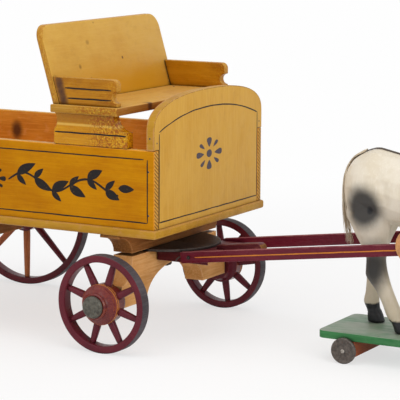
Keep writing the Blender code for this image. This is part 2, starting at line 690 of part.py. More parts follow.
def build_seat(bench, finishes, box):
    """The driver's seat: two risers, the seat, its leaning back and two arms."""
    for name, side in (("right", -1), ("left", 1)):
        mesh = prism("seat_riser_" + name, riser_outline(), RISER_THICKNESS)
        place = (0.0, side * (BOX_HALF_WIDTH - RISER_THICKNESS / 2), 0.0)
        bench.part("seat_riser_" + name, mesh, finishes["side_paint"], box, place, PLANE_TURNS["XZ"])
        mesh = prism("seat_arm_" + name, arm_outline(), ARM_THICKNESS)
        place = (0.0, side * (BACK_HALF_WIDTH - ARM_THICKNESS / 2), 0.0)
        bench.part("seat_arm_" + name, mesh, finishes["side_paint"], box, place, PLANE_TURNS["XZ"])
    size = (SEAT_FRONT - SEAT_REAR, 2 * SEAT_HALF_WIDTH, SEAT_THICKNESS)
    place = ((SEAT_FRONT + SEAT_REAR) / 2, 0.0, SEAT_BOTTOM + SEAT_THICKNESS / 2)
    seat = bench.part("seat_board", block("seat_board", size), finishes["front_paint"], box, place)
    ease(seat, 2 * EDGE_EASE, 2)
    mesh = prism("seat_housing", seat_housing_outline(), 2 * HOUSING_DEPTH)
    housing = bench.cutter("seat_housing", mesh, box, (0.0, 0.0, SEAT_TOP))
    combine(seat, housing, "DIFFERENCE")
    bottom = SEAT_FRAME_BOTTOM
    top = bottom + BACK_HEIGHT * math.cos(BACK_LEAN)
    slope = math.tan(BACK_LEAN)
    lean = (top - bottom) * slope
    side_view = [
        (SEAT_REAR, bottom), (SEAT_REAR + BACK_FOOT, bottom),
        (SEAT_REAR + BACK_FOOT - lean, top), (SEAT_REAR - lean, top),
    ]
    mesh = prism("seat_back", side_view, 2 * BACK_HALF_WIDTH)
    back = bench.part(
        "seat_back", mesh, finishes["front_paint"], box, (0.0, 0.0, 0.0), PLANE_TURNS["XZ"]
    )
    corner = arc((BACK_HALF_WIDTH - BACK_CORNER, top - BACK_CORNER), (BACK_CORNER, BACK_CORNER), 90, 0)
    beyond = BACK_CORNER
    front_view = mirrored(corner + [(BACK_HALF_WIDTH, bottom - beyond)])
    mesh = prism("seat_back_corners", front_view, 4 * (BACK_FOOT + lean))
    corners = bench.cutter(
        "seat_back_corners", mesh, box, (SEAT_REAR, 0.0, 0.0), PLANE_TURNS["YZ"]
    )
    combine(back, corners, "INTERSECT")


def build_upper_bolster(bench, finishes, box):
    """The bolster under the floor, coved at both ends."""
    half = [(UPPER_BOLSTER_HALF_WIDTH, UPPER_BOLSTER_TOP)]
    cove = (
        UPPER_BOLSTER_HALF_WIDTH - BOLSTER_WAIST_HALF_WIDTH,
        UPPER_BOLSTER_HEIGHT - UPPER_BOLSTER_LIP,
    )
    half += arc((UPPER_BOLSTER_HALF_WIDTH, UPPER_BOLSTER_BOTTOM), cove, 90, 180)
    mesh = prism("upper_bolster", mirrored(half), BOLSTER_THICKNESS)
    return bench.part(
        "upper_bolster", mesh, finishes["bolster_paint"], box,
        (STEER_PIVOT_X, 0.0, 0.0), PLANE_TURNS["YZ"],
    )


def build_rear_bolster(bench, finishes, box):
    """The rear axle block, coved at both ends like the bolster in front."""
    top = FLOOR_BOTTOM - SEAT_GAP
    foot = REAR_WHEEL_RADIUS - REAR_BOLSTER_DROP
    end_top = REAR_WHEEL_RADIUS + REAR_BOLSTER_DROP
    reach = LOWER_BOLSTER_HALF_WIDTH - BOLSTER_WAIST_HALF_WIDTH
    half = arc((LOWER_BOLSTER_HALF_WIDTH, top), (reach, top - end_top), 180, 270)
    half += [
        (LOWER_BOLSTER_HALF_WIDTH, foot + REAR_BOLSTER_FOOT_RISE),
        (REAR_BOLSTER_FOOT_HALF_WIDTH, foot),
    ]
    mesh = prism("rear_bolster", mirrored(half), BOLSTER_THICKNESS)
    bolster = bench.part(
        "rear_bolster", mesh, finishes["bolster_paint"], box, (REAR_AXLE_X, 0.0, 0.0), PLANE_TURNS["YZ"]
    )
    cut_peg_holes(bench, bolster, box, "rear", REAR_AXLE_X, REAR_WHEEL_RADIUS)


def cut_peg_holes(bench, bolster, parent, end, x, z):
    """The blind holes in a bolster's ends that the wheel pegs are driven into."""
    depth = PEG_GRIP + SEAT_GAP
    for name, side in (("right", -1), ("left", 1)):
        centre_y = side * (LOWER_BOLSTER_HALF_WIDTH - depth / 2 + WHEEL_END_PLAY)
        hole = pin_hole(
            bench, f"{end}_{name}_peg_hole", parent, PEG_RADIUS, (x, centre_y, z),
            depth + 2 * WHEEL_END_PLAY, PLANE_TURNS["XZ"],
        )
        combine(bolster, hole, "DIFFERENCE")


def build_pegs(bench, finishes, parent, end, x, z):
    """The two headed pegs that one axle's wheels turn on."""
    head = WHEEL_PLANE + HUB_NOSE + WHEEL_END_PLAY
    tail = LOWER_BOLSTER_HALF_WIDTH - PEG_GRIP
    dome = arc((0.0, head), (PEG_HEAD_RADIUS, PEG_HEAD_HEIGHT), 90, 0, DOME_STEPS)
    section = dome + [(PEG_RADIUS, head), (PEG_RADIUS, tail), (0.0, tail)]
    for side_name, side in (("right", -1), ("left", 1)):
        name = f"{end}_{side_name}_wheel_peg"
        peg = bench.part(
            name, profile(name, section, False), finishes["peg_iron"], parent, (x, 0.0, z),
            (-side * math.pi / 2, 0.0, 0.0),
        )
        turn_on_lathe(peg, PEG_STEPS)


def build_kingpin(bench, finishes, box, drilled):
    """The bolt that the front gear turns on, its head sunk in the floor, its nut and its holes."""
    head = FLOOR_TOP - SEAT_GAP - KINGPIN_HEAD_HEIGHT
    arch_top = FRONT_WHEEL_RADIUS - LOWER_BOLSTER_DROP + ARCH_RISE
    nut_top = arch_top - NUT_GAP
    tail = nut_top - NUT_HEIGHT - KINGPIN_TAIL
    dome = arc((0.0, head), (KINGPIN_HEAD_RADIUS, KINGPIN_HEAD_HEIGHT), 90, 0, DOME_STEPS)
    section = dome + [(KINGPIN_RADIUS, head), (KINGPIN_RADIUS, tail), (0.0, tail)]
    pin = bench.part(
        "kingpin", profile("kingpin", section, False), finishes["black_iron"], box,
        (STEER_PIVOT_X, 0.0, 0.0),
    )
    turn_on_lathe(pin, PEG_STEPS)
    mesh = block("kingpin_nut", (NUT_SIZE, NUT_SIZE, NUT_HEIGHT))
    nut = bench.part(
        "kingpin_nut", mesh, finishes["black_iron"], box,
        (STEER_PIVOT_X, 0.0, nut_top - NUT_HEIGHT / 2), (0.0, 0.0, NUT_TURN),
    )
    length = head - tail + 2 * FLOOR_THICKNESS
    hole = pin_hole(
        bench, "kingpin_hole", box, KINGPIN_RADIUS, (STEER_PIVOT_X, 0.0, (head + tail) / 2), length
    )
    for piece in drilled + [nut]:
        combine(piece, hole, "DIFFERENCE")
    recess = pin_hole(
        bench, "kingpin_recess", box, KINGPIN_HEAD_RADIUS,
        (STEER_PIVOT_X, 0.0, FLOOR_TOP), 2 * (FLOOR_TOP - head + SEAT_GAP),
    )
    combine(drilled[0], recess, "DIFFERENCE")


def lower_bolster_outline():
    """The front axle block seen from the front: coved shoulders and an arch below."""
    foot = FRONT_WHEEL_RADIUS - LOWER_BOLSTER_DROP
    reach = LOWER_BOLSTER_HALF_WIDTH - BOLSTER_WAIST_HALF_WIDTH
    shoulder = (reach, LOWER_BOLSTER_SHOULDER)
    half = arc((LOWER_BOLSTER_HALF_WIDTH, LOWER_BOLSTER_TOP), shoulder, 180, 270)
    half.append((LOWER_BOLSTER_HALF_WIDTH, foot))
    half += arc((0.0, foot), (ARCH_HALF_WIDTH, ARCH_RISE), 0, 90, ARCH_STEPS)
    return mirrored(half)


def build_front_gear(bench, finishes, gear):
    """What turns under the wagon box: plate, axle block, draw board and centre bar."""
    place = (STEER_PIVOT_X, 0.0, FIFTH_WHEEL_BOTTOM + FIFTH_WHEEL_THICKNESS / 2)
    mesh = rod("fifth_wheel_plate", FIFTH_WHEEL_RADIUS, FIFTH_WHEEL_THICKNESS, DISC_STEPS)
    plate = bench.part("fifth_wheel_plate", mesh, finishes["black_iron"], gear, place)
    mesh = prism("lower_bolster", lower_bolster_outline(), BOLSTER_THICKNESS)
    bolster = bench.part(
        "lower_bolster", mesh, finishes["bolster_paint"], gear,
        (STEER_PIVOT_X, 0.0, 0.0), PLANE_TURNS["YZ"],
    )
    cut_peg_holes(bench, bolster, gear, "front", STEER_PIVOT_X, FRONT_WHEEL_RADIUS)
    build_pegs(bench, finishes, gear, "front", STEER_PIVOT_X, FRONT_WHEEL_RADIUS)
    draw_board = build_draw_board(bench, finishes, gear)
    return plate, bolster, draw_board


def build_draw_board(bench, finishes, gear):
    """The board that carries the hinge rod, with the centre bar let into its front edge."""
    rear = STEER_PIVOT_X + BOLSTER_THICKNESS / 2 + SEAT_GAP
    slot = BAR_WIDTH / 2 + SEAT_GAP
    slot_end = DRAW_BOARD_FRONT - BAR_SLOT_DEPTH
    outline = [
        (rear, -DRAW_BOARD_HALF_WIDTH), (DRAW_BOARD_FRONT, -DRAW_BOARD_HALF_WIDTH),
        (DRAW_BOARD_FRONT, -slot), (slot_end, -slot), (slot_end, slot), (DRAW_BOARD_FRONT, slot),
        (DRAW_BOARD_FRONT, DRAW_BOARD_HALF_WIDTH), (rear, DRAW_BOARD_HALF_WIDTH),
    ]
    mesh = prism("draw_board", outline, DRAW_BOARD_THICKNESS)
    place = (0.0, 0.0, LOWER_BOLSTER_TOP - DRAW_BOARD_THICKNESS / 2)
    board = bench.part("draw_board", mesh, finishes["bolster_paint"], gear, place)
    hinge = (HINGE_X, 0.0, HINGE_Z)
    rod_length = 2 * (SHAFT_INNER_Y + SHAFT_WIDTH + HINGE_ROD_END)
    mesh = rod("shaft_hinge_rod", HINGE_ROD_RADIUS, rod_length, HOLE_STEPS)
    bench.part("shaft_hinge_rod", mesh, finishes["black_iron"], gear, hinge, PLANE_TURNS["XZ"])
    hole = pin_hole(
        bench, "draw_board_hinge_hole", gear, HINGE_ROD_RADIUS, hinge, rod_length, PLANE_TURNS["XZ"]
    )
    combine(board, hole, "DIFFERENCE")
    start = (slot_end + SEAT_GAP - HINGE_X) / math.cos(SHAFT_TILT) + SHAFT_HEIGHT * math.sin(SHAFT_TILT)
    end = start + BAR_SLOT_DEPTH + BAR_REACH
    top = SHAFT_HEIGHT / 2
    nose = arc((end - BAR_HEIGHT / 2, top - BAR_HEIGHT / 2), (BAR_HEIGHT / 2, BAR_HEIGHT / 2), -90, 90)
    outline = [(start, top), (start, top - BAR_HEIGHT)] + nose
    mesh = prism("centre_bar", outline, BAR_WIDTH)
    bench.part(
        "centre_bar", mesh, finishes["shaft_paint"], gear, hinge, (math.pi / 2, -SHAFT_TILT, 0.0)
    )
    return board


def build_shafts(bench, finishes, shafts):
    """The pair of shafts, hung on the hinge rod and rising to the tug loops."""
    half = SHAFT_HEIGHT / 2
    nose = arc((SHAFT_LENGTH - half, 0.0), (half, half), -90, 90)
    outline = [(-SHAFT_HEEL, half), (-SHAFT_HEEL, -half)] + nose
    for name, side in (("right", -1), ("left", 1)):
        mesh = prism("shaft_" + name, outline, SHAFT_WIDTH)
        place = (HINGE_X, side * SHAFT_MIDDLE_Y, HINGE_Z)
        shaft = bench.part(
            "shaft_" + name, mesh, finishes["shaft_paint"], shafts, place,
            (math.pi / 2, -SHAFT_TILT, 0.0),
        )
        hole = pin_hole(
            bench, f"shaft_{name}_hinge_hole", shafts, HINGE_ROD_RADIUS, place, 2 * SHAFT_WIDTH,
            PLANE_TURNS["XZ"],
        )
        combine(shaft, hole, "DIFFERENCE")


def build_wheel(bench, finishes, parent, name, side, x, radius, steps, spoke_angle):
    """One wagon wheel on its own joint: rim, spokes and turned hub."""
    axle = (x, side * WHEEL_PLANE, radius)
    joint = bench.joint(name + "_joint", parent, axle)
    turn = (-side * math.pi / 2, 0.0, 0.0)
    half = RIM_WIDTH / 2
    inner = radius - RIM_DEPTH
    section = [
        (radius - RIM_EDGE, half), (radius, half - RIM_EDGE), (radius, RIM_EDGE - half),
        (radius - RIM_EDGE, -half), (inner, -half), (inner, half),
    ]
    rim = bench.part(
        name + "_rim", profile(name + "_rim", section, True), finishes["rim_paint"], joint, axle, turn
    )
    turn_on_lathe(rim, steps)
    bore = PEG_RADIUS + BORE_CLEARANCE
    section = [
        (bore, HUB_NOSE), (HUB_NOSE_RADIUS, HUB_NOSE),
        (HUB_RADIUS - HUB_BEAD, HUB_BAND_HALF_WIDTH + HUB_BEAD), (HUB_RADIUS, HUB_BAND_HALF_WIDTH),
        (HUB_RADIUS, -HUB_BAND_HALF_WIDTH), (HUB_HEEL_RADIUS, -HUB_HEEL), (bore, -HUB_HEEL),
    ]
    hub_name = name + "_hub_and_spokes"
    hub = bench.part(
        hub_name, profile(hub_name, section, True), finishes["wheel_paint"], joint, axle, turn
    )
    turn_on_lathe(hub, HUB_STEPS)
    mesh = spoke_set(name + "_spokes", inner * math.cos(math.pi / steps) - SEAT_GAP, spoke_angle)
    combine(hub, bench.cutter(name + "_spokes", mesh, joint, axle, turn), "UNION")


def spoke_set(name, end, first_angle):
    """The tapered spokes of a wheel, let into the hub and reaching to the rim."""
    start = HUB_RADIUS - SPOKE_LET_IN
    outwards = Matrix.Rotation(math.pi / 2, 4, "Y")
    along = Matrix.Translation(((start + end) / 2, 0.0, 0.0))
    bm = bmesh.new()
    for index in range(SPOKE_COUNT):
        around = Matrix.Rotation(first_angle + 2 * math.pi * index / SPOKE_COUNT, 4, "Z")
        bmesh.ops.create_cone(
            bm, cap_ends=True, segments=SPOKE_SIDES, radius1=SPOKE_HUB_RADIUS, radius2=SPOKE_RIM_RADIUS,
            depth=end - start, matrix=around @ along @ outwards,
        )
    return mesh_from(bm, name)


def build_wagon_wheels(bench, finishes, box, gear):
    """The two small wheels of the front gear and the two large ones behind."""
    front = (STEER_PIVOT_X, FRONT_WHEEL_RADIUS, FRONT_RIM_STEPS)
    rear = (REAR_AXLE_X, REAR_WHEEL_RADIUS, REAR_RIM_STEPS)
    build_wheel(bench, finishes, gear, "front_right_wheel", -1, *front, FRONT_RIGHT_SPOKE_ANGLE)
    build_wheel(bench, finishes, gear, "front_left_wheel", 1, *front, FRONT_LEFT_SPOKE_ANGLE)
    build_wheel(bench, finishes, box, "rear_right_wheel", -1, *rear, REAR_SPOKE_ANGLE)
    build_wheel(bench, finishes, box, "rear_left_wheel", 1, *rear, REAR_SPOKE_ANGLE)


def build_platform(bench, finishes, horse):
    """The green board that the horse stands on, its axle blocks, nails and four wheels."""
    rear = TUG_X + PLATFORM_REAR
    front = rear + PLATFORM_LENGTH
    inset = PLATFORM_CORNER
    corner = (inset, inset)
    outline = arc((front - inset, PLATFORM_HALF_WIDTH - inset), corner, 0, 90, CORNER_STEPS)
    outline += arc((rear + inset, PLATFORM_HALF_WIDTH - inset), corner, 90, 180, CORNER_STEPS)
    outline += arc((rear + inset, inset - PLATFORM_HALF_WIDTH), corner, 180, 270, CORNER_STEPS)
    outline += arc((front - inset, inset - PLATFORM_HALF_WIDTH), corner, 270, 360, CORNER_STEPS)
    mesh = prism("platform_board", outline, PLATFORM_THICKNESS)
    place = (0.0, 0.0, PLATFORM_TOP - PLATFORM_THICKNESS / 2)
    bench.part("platform_board", mesh, finishes["platform_paint"], horse, place)
    block_top = PLATFORM_BOTTOM - SEAT_GAP
    block_size = (AXLE_BLOCK_LENGTH, 2 * (PLATFORM_HALF_WIDTH - SEAT_GAP), AXLE_BLOCK_HEIGHT)
    wheel_y = PLATFORM_HALF_WIDTH + WHEEL_END_PLAY + PLATFORM_WHEEL_THICKNESS / 2
    for end, x in (("rear", rear + PLATFORM_WHEEL_INSET), ("front", front - PLATFORM_WHEEL_INSET)):
        name = f"platform_axle_block_{end}"
        place = (x, 0.0, block_top - AXLE_BLOCK_HEIGHT / 2)
        mesh = block(name, block_size)
        axle_block = bench.part(name, mesh, finishes["block_stain"], horse, place)
        for side_name, side in (("right", -1), ("left", 1)):
            axle = (x, side * wheel_y, PLATFORM_WHEEL_RADIUS)
            build_small_wheel(bench, finishes, horse, f"platform_wheel_{end}_{side_name}", side, axle)
            build_nail(bench, finishes, horse, f"platform_nail_{end}_{side_name}", side, axle)
            grip = PLATFORM_HALF_WIDTH - NAIL_GRIP / 2 + WHEEL_END_PLAY
            hole = pin_hole(
                bench, f"nail_hole_{end}_{side_name}", horse, NAIL_RADIUS,
                (x, side * grip, PLATFORM_WHEEL_RADIUS), NAIL_GRIP + 2 * WHEEL_END_PLAY,
                PLANE_TURNS["XZ"],
            )
            combine(axle_block, hole, "DIFFERENCE")


def build_nail(bench, finishes, horse, name, side, axle):
    """The headed nail that a small wheel turns on."""
    head = abs(axle[1]) + PLATFORM_WHEEL_THICKNESS / 2 + WHEEL_END_PLAY / 2
    tail = PLATFORM_HALF_WIDTH - NAIL_GRIP + WHEEL_END_PLAY
    dome = arc((0.0, head), (NAIL_HEAD_RADIUS, NAIL_HEAD_HEIGHT), 90, 0, DOME_STEPS)
    section = dome + [(NAIL_RADIUS, head), (NAIL_RADIUS, tail), (0.0, tail)]
    nail = bench.part(
        name, profile(name, section, False), finishes["bright_steel"], horse,
        (axle[0], 0.0, axle[2]), (-side * math.pi / 2, 0.0, 0.0),
    )
    turn_on_lathe(nail, NAIL_STEPS)


def build_small_wheel(bench, finishes, horse, name, side, axle):
    """One disc wheel of the platform, on its own joint."""
    joint = bench.joint(name + "_joint", horse, axle)
    half = PLATFORM_WHEEL_THICKNESS / 2
    bore = NAIL_RADIUS + BORE_CLEARANCE
    edge = PLATFORM_WHEEL_RADIUS
    eased = PLATFORM_WHEEL_RIM_EASE
    section = [
        (bore, half), (edge - eased, half), (edge, half - eased), (edge, eased - half),
        (edge - eased, -half), (bore, -half),
    ]
    wheel = bench.part(
        name, profile(name, section, True), finishes["disc_tin"], joint, axle,
        (-side * math.pi / 2, 0.0, 0.0),
    )
    turn_on_lathe(wheel, SMALL_WHEEL_STEPS)


def stepped(rings, step):
    """A leg's rings with the hoof set forward by a step and the shoulder kept."""
    shoulder = rings[0][1]
    return [
        (x_a + step * (1 - z_a / shoulder), z_a, x_b + step * (1 - z_b / shoulder), z_b, half_width)
        for x_a, z_a, x_b, z_b, half_width in rings
    ]


def build_horse(bench, finishes, horse):
    """The moulded horse with its legs, hair, ears and eyes, each seated on the body."""
    place = (TUG_X, 0.0, PLATFORM_TOP)
    mesh = loft("horse_body", TORSO_RINGS, TORSO_SIDES)
    body = bench.part("horse_body", mesh, finishes["horse_paint"], horse, place)
    combine(body, bench.cutter("horse_ears", ear_pair("horse_ears"), horse, place), "UNION")
    mesh = loft("horse_seat", TORSO_RINGS, TORSO_SIDES, grow=SEAT_GAP)
    seat = bench.cutter("horse_seat", mesh, horse, place)
    legs = (
        ("horse_hind_leg_right", HIND_LEG_FORWARD, -1),
        ("horse_hind_leg_left", HIND_LEG_BACK, 1),
        ("horse_fore_leg_right", stepped(FORE_LEG, FORE_STEP_RIGHT), -1),
        ("horse_fore_leg_left", stepped(FORE_LEG, FORE_STEP_LEFT), 1),
    )
    for name, rings, side in legs:
        leg_place = (TUG_X, side * LEG_HALF_TRACK, PLATFORM_TOP)
        mesh = loft(name, rings, LEG_SIDES)
        leg = bench.part(name, mesh, finishes["horse_paint"], horse, leg_place)
        combine(leg, seat, "DIFFERENCE")
    for name, rings in (("horse_tail", TAIL_RINGS), ("horse_mane", MANE_RINGS)):
        mesh = loft(name, rings, HAIR_SIDES)
        hair = bench.part(name, mesh, finishes["hair"], horse, place)
        combine(hair, seat, "DIFFERENCE")
    build_eyes(bench, finishes, horse, seat)
    return seat


def ear_pair(name):
    """Two pointed ears, set into the poll and splayed outwards."""
    bm = bmesh.new()
    height = Matrix.Translation((0.0, 0.0, EAR_HEIGHT / 2))
    for side in (-1, 1):
        base = Matrix.Translation((EAR_PLACE[0], side * EAR_SPREAD, EAR_PLACE[1]))
        splay = Matrix.Rotation(-side * EAR_SPLAY, 4, "X")
        bmesh.ops.create_cone(
            bm, cap_ends=True, segments=EAR_SIDES, radius1=EAR_RADIUS, radius2=EAR_RADIUS / 5,
            depth=EAR_HEIGHT, matrix=base @ splay @ height,
        )
    return mesh_from(bm, name)


def build_eyes(bench, finishes, horse, seat):
    """The two glass eyes, domed out of the sides of the head."""
    for name, side in (("horse_eye_right", -1), ("horse_eye_left", 1)):
        bm = bmesh.new()
        bmesh.ops.create_uvsphere(bm, u_segments=EYE_STEPS, v_segments=EYE_STEPS // 2 + 1, radius=EYE_RADIUS)
        place = (TUG_X + EYE_PLACE[0], side * EYE_SPREAD, PLATFORM_TOP + EYE_PLACE[1])
        eye = bench.part(name, mesh_from(bm, name), finishes["eye_glass"], horse, place)
        combine(eye, seat, "DIFFERENCE")


def strap(bench, finishes, horse, seat, name, material, centre, size):
    """A strap that lies on the horse wherever a slab crosses its skin."""
    place = (TUG_X, 0.0, PLATFORM_TOP)
    mesh = loft(name, TORSO_RINGS, TORSO_SIDES, grow=SEAT_GAP + STRAP_THICKNESS)
    piece = bench.part(name, mesh, finishes[material], horse, place)
    where = (TUG_X + centre[0], centre[1], PLATFORM_TOP + centre[2])
    slab = bench.cutter(name + "_slab", block(name + "_slab", size), horse, where)
    combine(piece, slab, "INTERSECT")
    combine(piece, seat, "DIFFERENCE")
    return piece


def build_harness(bench, finishes, horse, seat):
    """The saddle strap, girth, back strap and the two tug loops."""
    half = (STRAP_SLAB_TOP - BELLY_SPLIT) / 2
    strap(
        bench, finishes, horse, seat, "saddle_strap", "tan_leather",
        (0.0, 0.0, BELLY_SPLIT + SEAT_GAP + half), (STRAP_WIDTH, STRAP_SLAB_TOP, 2 * half),
    )
    strap(
        bench, finishes, horse, seat, "girth_strap", "tan_leather",
        (0.0, 0.0, BELLY_SPLIT / 2), (STRAP_WIDTH, STRAP_SLAB_TOP, BELLY_SPLIT),
    )
    start = -STRAP_WIDTH / 2 - SEAT_GAP
    strap(
        bench, finishes, horse, seat, "back_strap", "dark_leather",
        ((start + BACK_STRAP_REAR) / 2, 0.0, BELLY_SPLIT + half),
        (start - BACK_STRAP_REAR, BACK_STRAP_WIDTH, 2 * half),
    )
    for name, side in (("right", -1), ("left", 1)):
        build_tug_loop(bench, finishes, horse, name, side)


def build_tug_loop(bench, finishes, horse, name, side):
    """A leather loop round a shaft, on a tab that hangs against the saddle strap."""
    outer_face = SHAFT_INNER_Y + SHAFT_WIDTH + TUG_SIDE_ROOM
    half_shaft = SHAFT_HEIGHT / 2 / math.cos(SHAFT_TILT)
    low = TUG_Z - half_shaft - TUG_ROOM_BELOW
    high = TUG_Z + half_shaft + TUG_ROOM_ABOVE
    tab_top = PLATFORM_TOP + TUG_TAB_TOP
    end_view = [
        (TUG_TAB_FACE, tab_top), (TUG_TAB_FACE, low - TUG_WALL),
        (outer_face + TUG_WALL, low - TUG_WALL), (outer_face + TUG_WALL, high + TUG_WALL),
        (TUG_INNER_FACE, high + TUG_WALL), (TUG_INNER_FACE, tab_top),
    ]
    turned = [(side * across, up) for across, up in end_view]
    mesh = prism("tug_loop_" + name, turned, TUG_WIDTH)
    loop = bench.part(
        "tug_loop_" + name, mesh, finishes["tan_leather"], horse, (TUG_X, 0.0, 0.0), PLANE_TURNS["YZ"]
    )
    size = (2 * TUG_WIDTH, outer_face - TUG_INNER_FACE, high - low)
    where = (TUG_X, side * (TUG_INNER_FACE + outer_face) / 2, (low + high) / 2)
    room = bench.cutter(f"tug_room_{name}", block(f"tug_room_{name}", size), horse, where)
    middle = (low + high) / 2
    rise = (high - low) / 2 + TUG_WALL
    neck = STRAP_WIDTH / 2
    half_width = TUG_WIDTH / 2
    start = math.degrees(math.acos(neck / half_width))
    side_view = [(neck, tab_top + rise), (-neck, tab_top + rise)]
    side_view += arc((0.0, middle), (half_width, rise * TUG_FULLNESS), 180 - start, 360 + start, TUG_STEPS)
    mesh = prism(f"tug_shape_{name}", side_view, 4 * SHAFT_MIDDLE_Y)
    shape = bench.cutter(f"tug_shape_{name}", mesh, horse, (TUG_X, 0.0, 0.0), PLANE_TURNS["XZ"])
    combine(loop, room, "DIFFERENCE")
    combine(loop, shape, "INTERSECT")


def main():
    """Clear the scene and put the toy together."""
    for piece in list(bpy.data.objects):
        bpy.data.objects.remove(piece)
    bench = Bench()
    finishes = make_finishes()
    box = bench.joint("wagon", bench.frame, (0.0, 0.0, 0.0))
    gear = bench.joint("steer_joint", box, (STEER_PIVOT_X, 0.0, FIFTH_WHEEL_TOP))
    shafts = bench.joint("shaft_joint", gear, (HINGE_X, 0.0, HINGE_Z))
    horse = bench.joint("horse_joint", shafts, (TUG_X, 0.0, TUG_Z))
    floor = build_floor(bench, finishes, box)
    build_box(bench, finishes, box)
    build_seat(bench, finishes, box)
    upper_bolster = build_upper_bolster(bench, finishes, box)
    build_rear_bolster(bench, finishes, box)
    build_pegs(bench, finishes, box, "rear", REAR_AXLE_X, REAR_WHEEL_RADIUS)
    plate, lower_bolster, draw_board = build_front_gear(bench, finishes, gear)
    build_kingpin(bench, finishes, box, [floor, upper_bolster, plate, lower_bolster])
    build_shafts(bench, finishes, shafts)
    build_wagon_wheels(bench, finishes, box, gear)
    build_platform(bench, finishes, horse)
    seat = build_horse(bench, finishes, horse)
    build_harness(bench, finishes, horse, seat)


main()
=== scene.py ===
"""A wooden toy delivery wagon with a driver's seat, and the moulded horse that draws it.

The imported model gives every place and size. Each class here dresses one sub-assembly of it.
Lengths are in metres; X runs towards the horse, Y to the wagon's left and Z up.
"""

import logging
import random
from dataclasses import dataclass
from enum import Enum
from functools import cache, reduce
from math import copysign, cos, hypot, pi, radians, sin
from typing import Callable, Sequence

import bmesh
import bpy
import numpy as np
from mathutils import Matrix, Vector, noise
from mathutils.bvhtree import BVHTree


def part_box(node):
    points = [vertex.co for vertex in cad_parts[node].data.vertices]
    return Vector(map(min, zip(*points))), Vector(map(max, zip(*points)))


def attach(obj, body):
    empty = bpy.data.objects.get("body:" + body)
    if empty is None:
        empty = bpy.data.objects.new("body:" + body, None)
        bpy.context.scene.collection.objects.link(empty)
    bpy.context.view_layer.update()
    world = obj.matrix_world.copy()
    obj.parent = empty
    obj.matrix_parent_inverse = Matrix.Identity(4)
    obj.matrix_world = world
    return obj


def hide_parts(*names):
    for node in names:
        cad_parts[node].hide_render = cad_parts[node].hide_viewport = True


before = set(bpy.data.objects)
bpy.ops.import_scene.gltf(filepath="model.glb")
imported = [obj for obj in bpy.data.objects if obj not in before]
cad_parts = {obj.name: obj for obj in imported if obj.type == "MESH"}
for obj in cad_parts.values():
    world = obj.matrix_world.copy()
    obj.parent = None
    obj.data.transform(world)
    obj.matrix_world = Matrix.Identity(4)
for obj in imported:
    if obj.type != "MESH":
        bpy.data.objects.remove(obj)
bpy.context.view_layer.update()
LOG = logging.getLogger("toy_wagon")

Colour = tuple[int, int, int]
Point = tuple[float, float]
Triple = tuple[float, float, float]
Material = bpy.types.Material
Socket = bpy.types.NodeSocket
Geometry = bmesh.types.BMesh
FaceRule = Callable[[Vector, Vector], int]

WELD = 0.000002
SHARP_EDGE = radians(28)
SMOOTH_UP_TO = radians(38)
FACING = 0.9
PAINT_PROUD = 0.00006
PAINT_LET_IN = 0.00005
PAINT_LAYER = 0.000001
COAT_ROUGHNESS = 0.16
SPECK_REACH = 0.075
EDGE_TURN = (0.012, 0.12)
LEFT = Vector((0.0, 1.0, 0.0))
UP = Vector((0.0, 0.0, 1.0))
MM = 0.001
SEED = 1910


class Axis(Enum):
    """The way that a board's grain runs."""

    X = (1.0, 0.0, 0.0)
    Y = (0.0, 1.0, 0.0)
    Z = (0.0, 0.0, 1.0)

    def drawn_out(self, times: float) -> Triple:
        """How much a pattern is drawn out along each axis."""
        return tuple(times if part else 1.0 for part in self.value)


class Side(Enum):
    """The wagon's right or left, as the sign of Y."""

    RIGHT = -1
    LEFT = 1

    @property
    def word(self) -> str:
        """The side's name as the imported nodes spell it."""
        return self.name.lower()


# Finishes


def linear(colour: Colour) -> tuple[float, ...]:
    """Turn a screen colour, 0 to 255 a channel, into linear light.

    Args:
        colour: Red, green and blue as a screen shows them.

    Returns:
        The colour as a node socket takes it.
    """
    shares = [level / 255 for level in colour]
    light = [s / 12.92 if s <= 0.04045 else ((s + 0.055) / 1.055) ** 2.4 for s in shares]
    return (*light, 1.0)


def add_node(tree: bpy.types.NodeTree, kind: str, inputs: dict, **settings: object) -> bpy.types.Node:
    """Add a node to a tree.

    Args:
        tree: The tree.
        kind: The node's type without the words ShaderNode in front.
        inputs: Socket names or numbers, each with a value or the socket that feeds it.
        **settings: Values of the node's own options.

    Returns:
        The new node.
    """
    node = tree.nodes.new("ShaderNode" + kind)
    for option, value in settings.items():
        setattr(node, option, value)
    for key, value in inputs.items():
        if isinstance(value, Socket):
            tree.links.new(value, node.inputs[key])
        else:
            node.inputs[key].default_value = value
    return node


